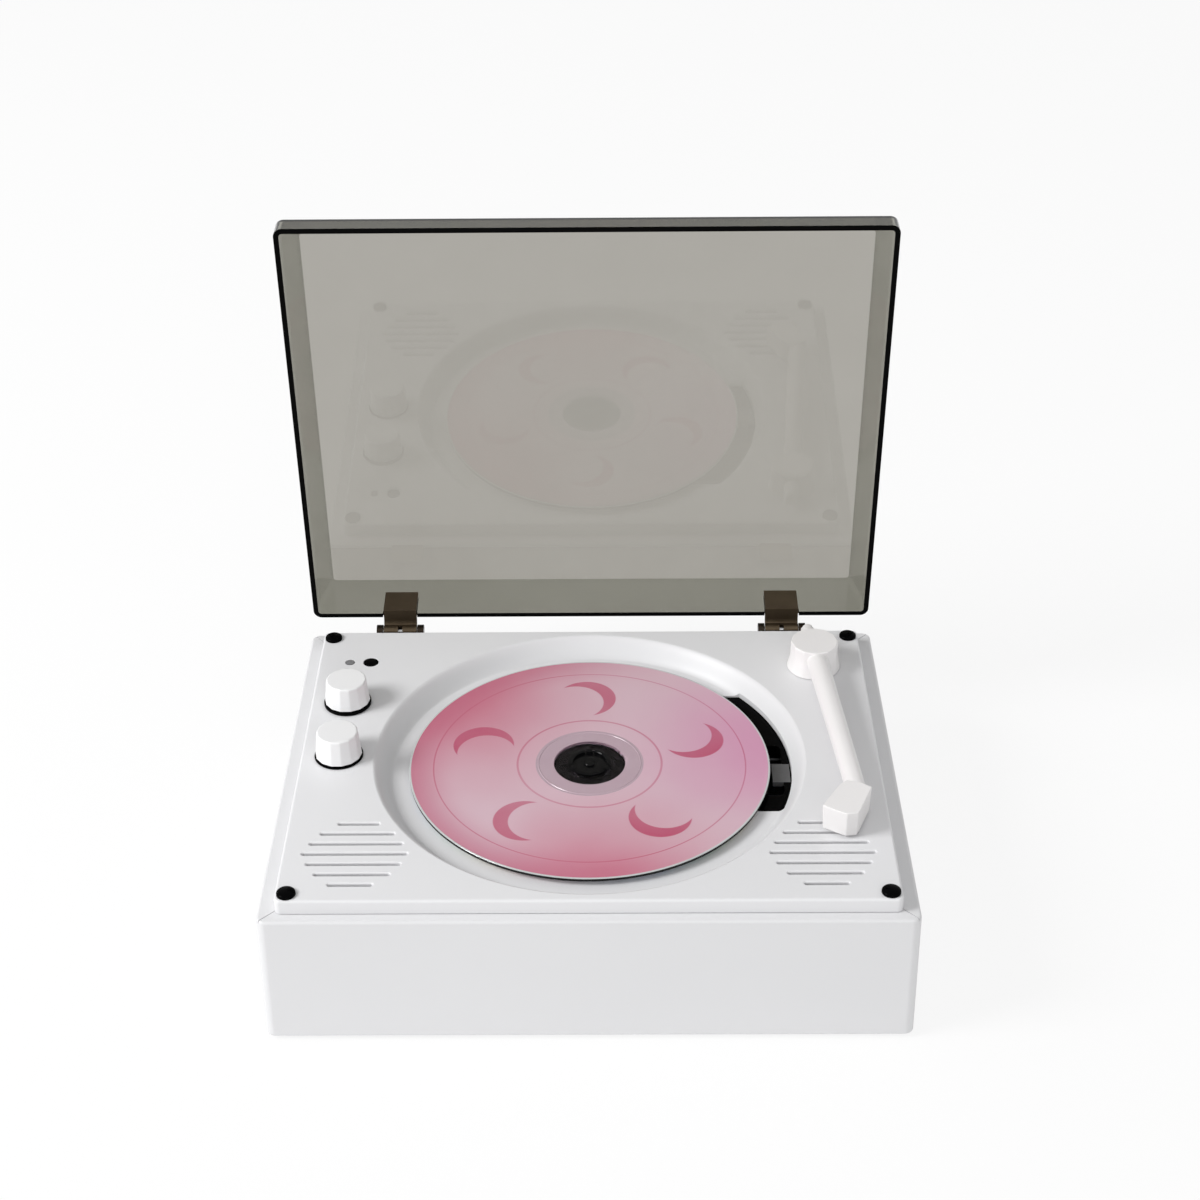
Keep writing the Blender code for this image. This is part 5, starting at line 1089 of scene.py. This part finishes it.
smoke_panel = Finish("smoke_panel", (0.43, 0.42, 0.39), 0.02, Transmission_Weight=1.0, IOR=1.49)
panel_marks = smoke_panel.wear(size=0.02, low=0.01, spread=0.02)
smoke_panel.set(Base_Color=smoke_panel.mix(panel_marks, (0.388, 0.374, 0.338), (0.408, 0.394, 0.358)))
smoke_side = Finish("smoke_side", (0.27, 0.27, 0.21), 0.03, Transmission_Weight=1.0, IOR=1.49)
side_marks = smoke_side.wear(size=0.02, low=0.02, spread=0.03)
smoke_side.set(Base_Color=smoke_side.mix(side_marks, (0.220, 0.216, 0.182), (0.245, 0.241, 0.205)))
rim_black = Finish("rim_black", (0.002, 0.002, 0.002), 0.10, Specular_IOR_Level=0.02)
rim_black.wear(size=0.003, low=0.08, spread=0.08)

PANEL, SIDE, OPEN_EDGE = range(3)
lid_shape = bmesh.new()
loops = [[lid_shape.verts.new(point) for point in ring] for ring in outside[::-1] + inside]
rim_row = len(outside) - 1
count = len(loops[0])
for row, (one, two) in enumerate(zip(loops, loops[1:])):
    for i in range(count):
        face = lid_shape.faces.new((one[i], one[(i + 1) % count], two[(i + 1) % count], two[i]))
        face.material_index = OPEN_EDGE if row in (rim_row - 1, rim_row) else SIDE
lid_shape.faces.new(loops[0]).material_index = PANEL
lid_shape.faces.new(loops[-1]).material_index = PANEL
bmesh.ops.recalc_face_normals(lid_shape, faces=lid_shape.faces)
smoked_cover = made_of("smoked_cover", lid_shape, smoke_panel, smoke_side, rim_black)
notches = []
for node in ("hinge_pin_left", "hinge_pin_right"):
    x = middle(*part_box(node)).x
    notch = block((x - CLIP_LENGTH / 2 - NOTCH_GAP, -PIVOT_BEHIND - LID_WALL - OVERRUN, lid_rim_z - OVERRUN),
                  (x + CLIP_LENGTH / 2 + NOTCH_GAP, -PIVOT_BEHIND + OVERRUN, lid_rim_z + NOTCH_HEIGHT))
    notch.transform(lid_turn)
    notches.append(notch)
carve(smoked_cover, notches)
stands_for(smooth(smoked_cover), "lid", "smoked_clear", "lid_shell")

# Hinges: strips of bronze-plated steel. A clip folds round the lid's back wall and rolls into a barrel, and a
# leaf screwed to the base's back carries a knuckle each side of it, all on one steel pin.

bronze = Finish("dark_bronze", (0.085, 0.062, 0.038), 0.35, Metallic=0.85)
bronze_marks = bronze.marks(size=0.001, detail=4.0)
bronze_cloud = bronze.marks(size=0.008, detail=2.0)
bronze.set(Roughness=0.26 + bronze_marks * 0.2,
           Base_Color=bronze.mix(bronze_cloud, (0.070, 0.050, 0.030), (0.110, 0.082, 0.052)))
leaf_bronze = Finish("leaf_bronze", (0.030, 0.022, 0.015), 0.35, Metallic=0.85)
leaf_bronze.wear(size=0.001, low=0.26, spread=0.2, detail=4.0)
HINGE_SOFT = 0.00015
PIN_WINDOW = 0.0016
PIN_WINDOW_DEPTH = 0.0030
MERGE_DISTANCE = 0.000002
FLAT_WITHIN = math.radians(1)


def softened(node, name, finish, cutters=()):
    """A CAD node's shape, cut where asked, with its sharp edges rounded."""
    shape = bmesh.new()
    shape.from_mesh(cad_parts[node].data)
    bmesh.ops.remove_doubles(shape, verts=shape.verts, dist=MERGE_DISTANCE)
    bmesh.ops.dissolve_limit(shape, angle_limit=FLAT_WITHIN, verts=shape.verts, edges=shape.edges)
    bmesh.ops.recalc_face_normals(shape, faces=shape.faces)
    made = made_of(name, shape, finish)
    if cutters:
        carve(made, cutters)
    return smooth(made, rounding=HINGE_SOFT)


for side in ("left", "right"):
    spot = middle(*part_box("hinge_pin_" + side))
    window = block((spot.x - PIN_WINDOW / 2, spot.y - PIN_WINDOW_DEPTH, spot.z),
                   (spot.x + PIN_WINDOW / 2, spot.y, spot.z + PIN_WINDOW_DEPTH))
    clip = softened("hinge_clip_" + side, "lid_clip_" + side, bronze, [window])
    stands_for(clip, "lid", "hinge_bronze", "hinge_clip_" + side)
    leaf = softened("hinge_leaf_" + side, "base_leaf_" + side, leaf_bronze)
    stands_for(leaf, "base", "hinge_bronze", "hinge_leaf_" + side)
dress(plain_steel, "hinge_pin_left", "hinge_pin_right")
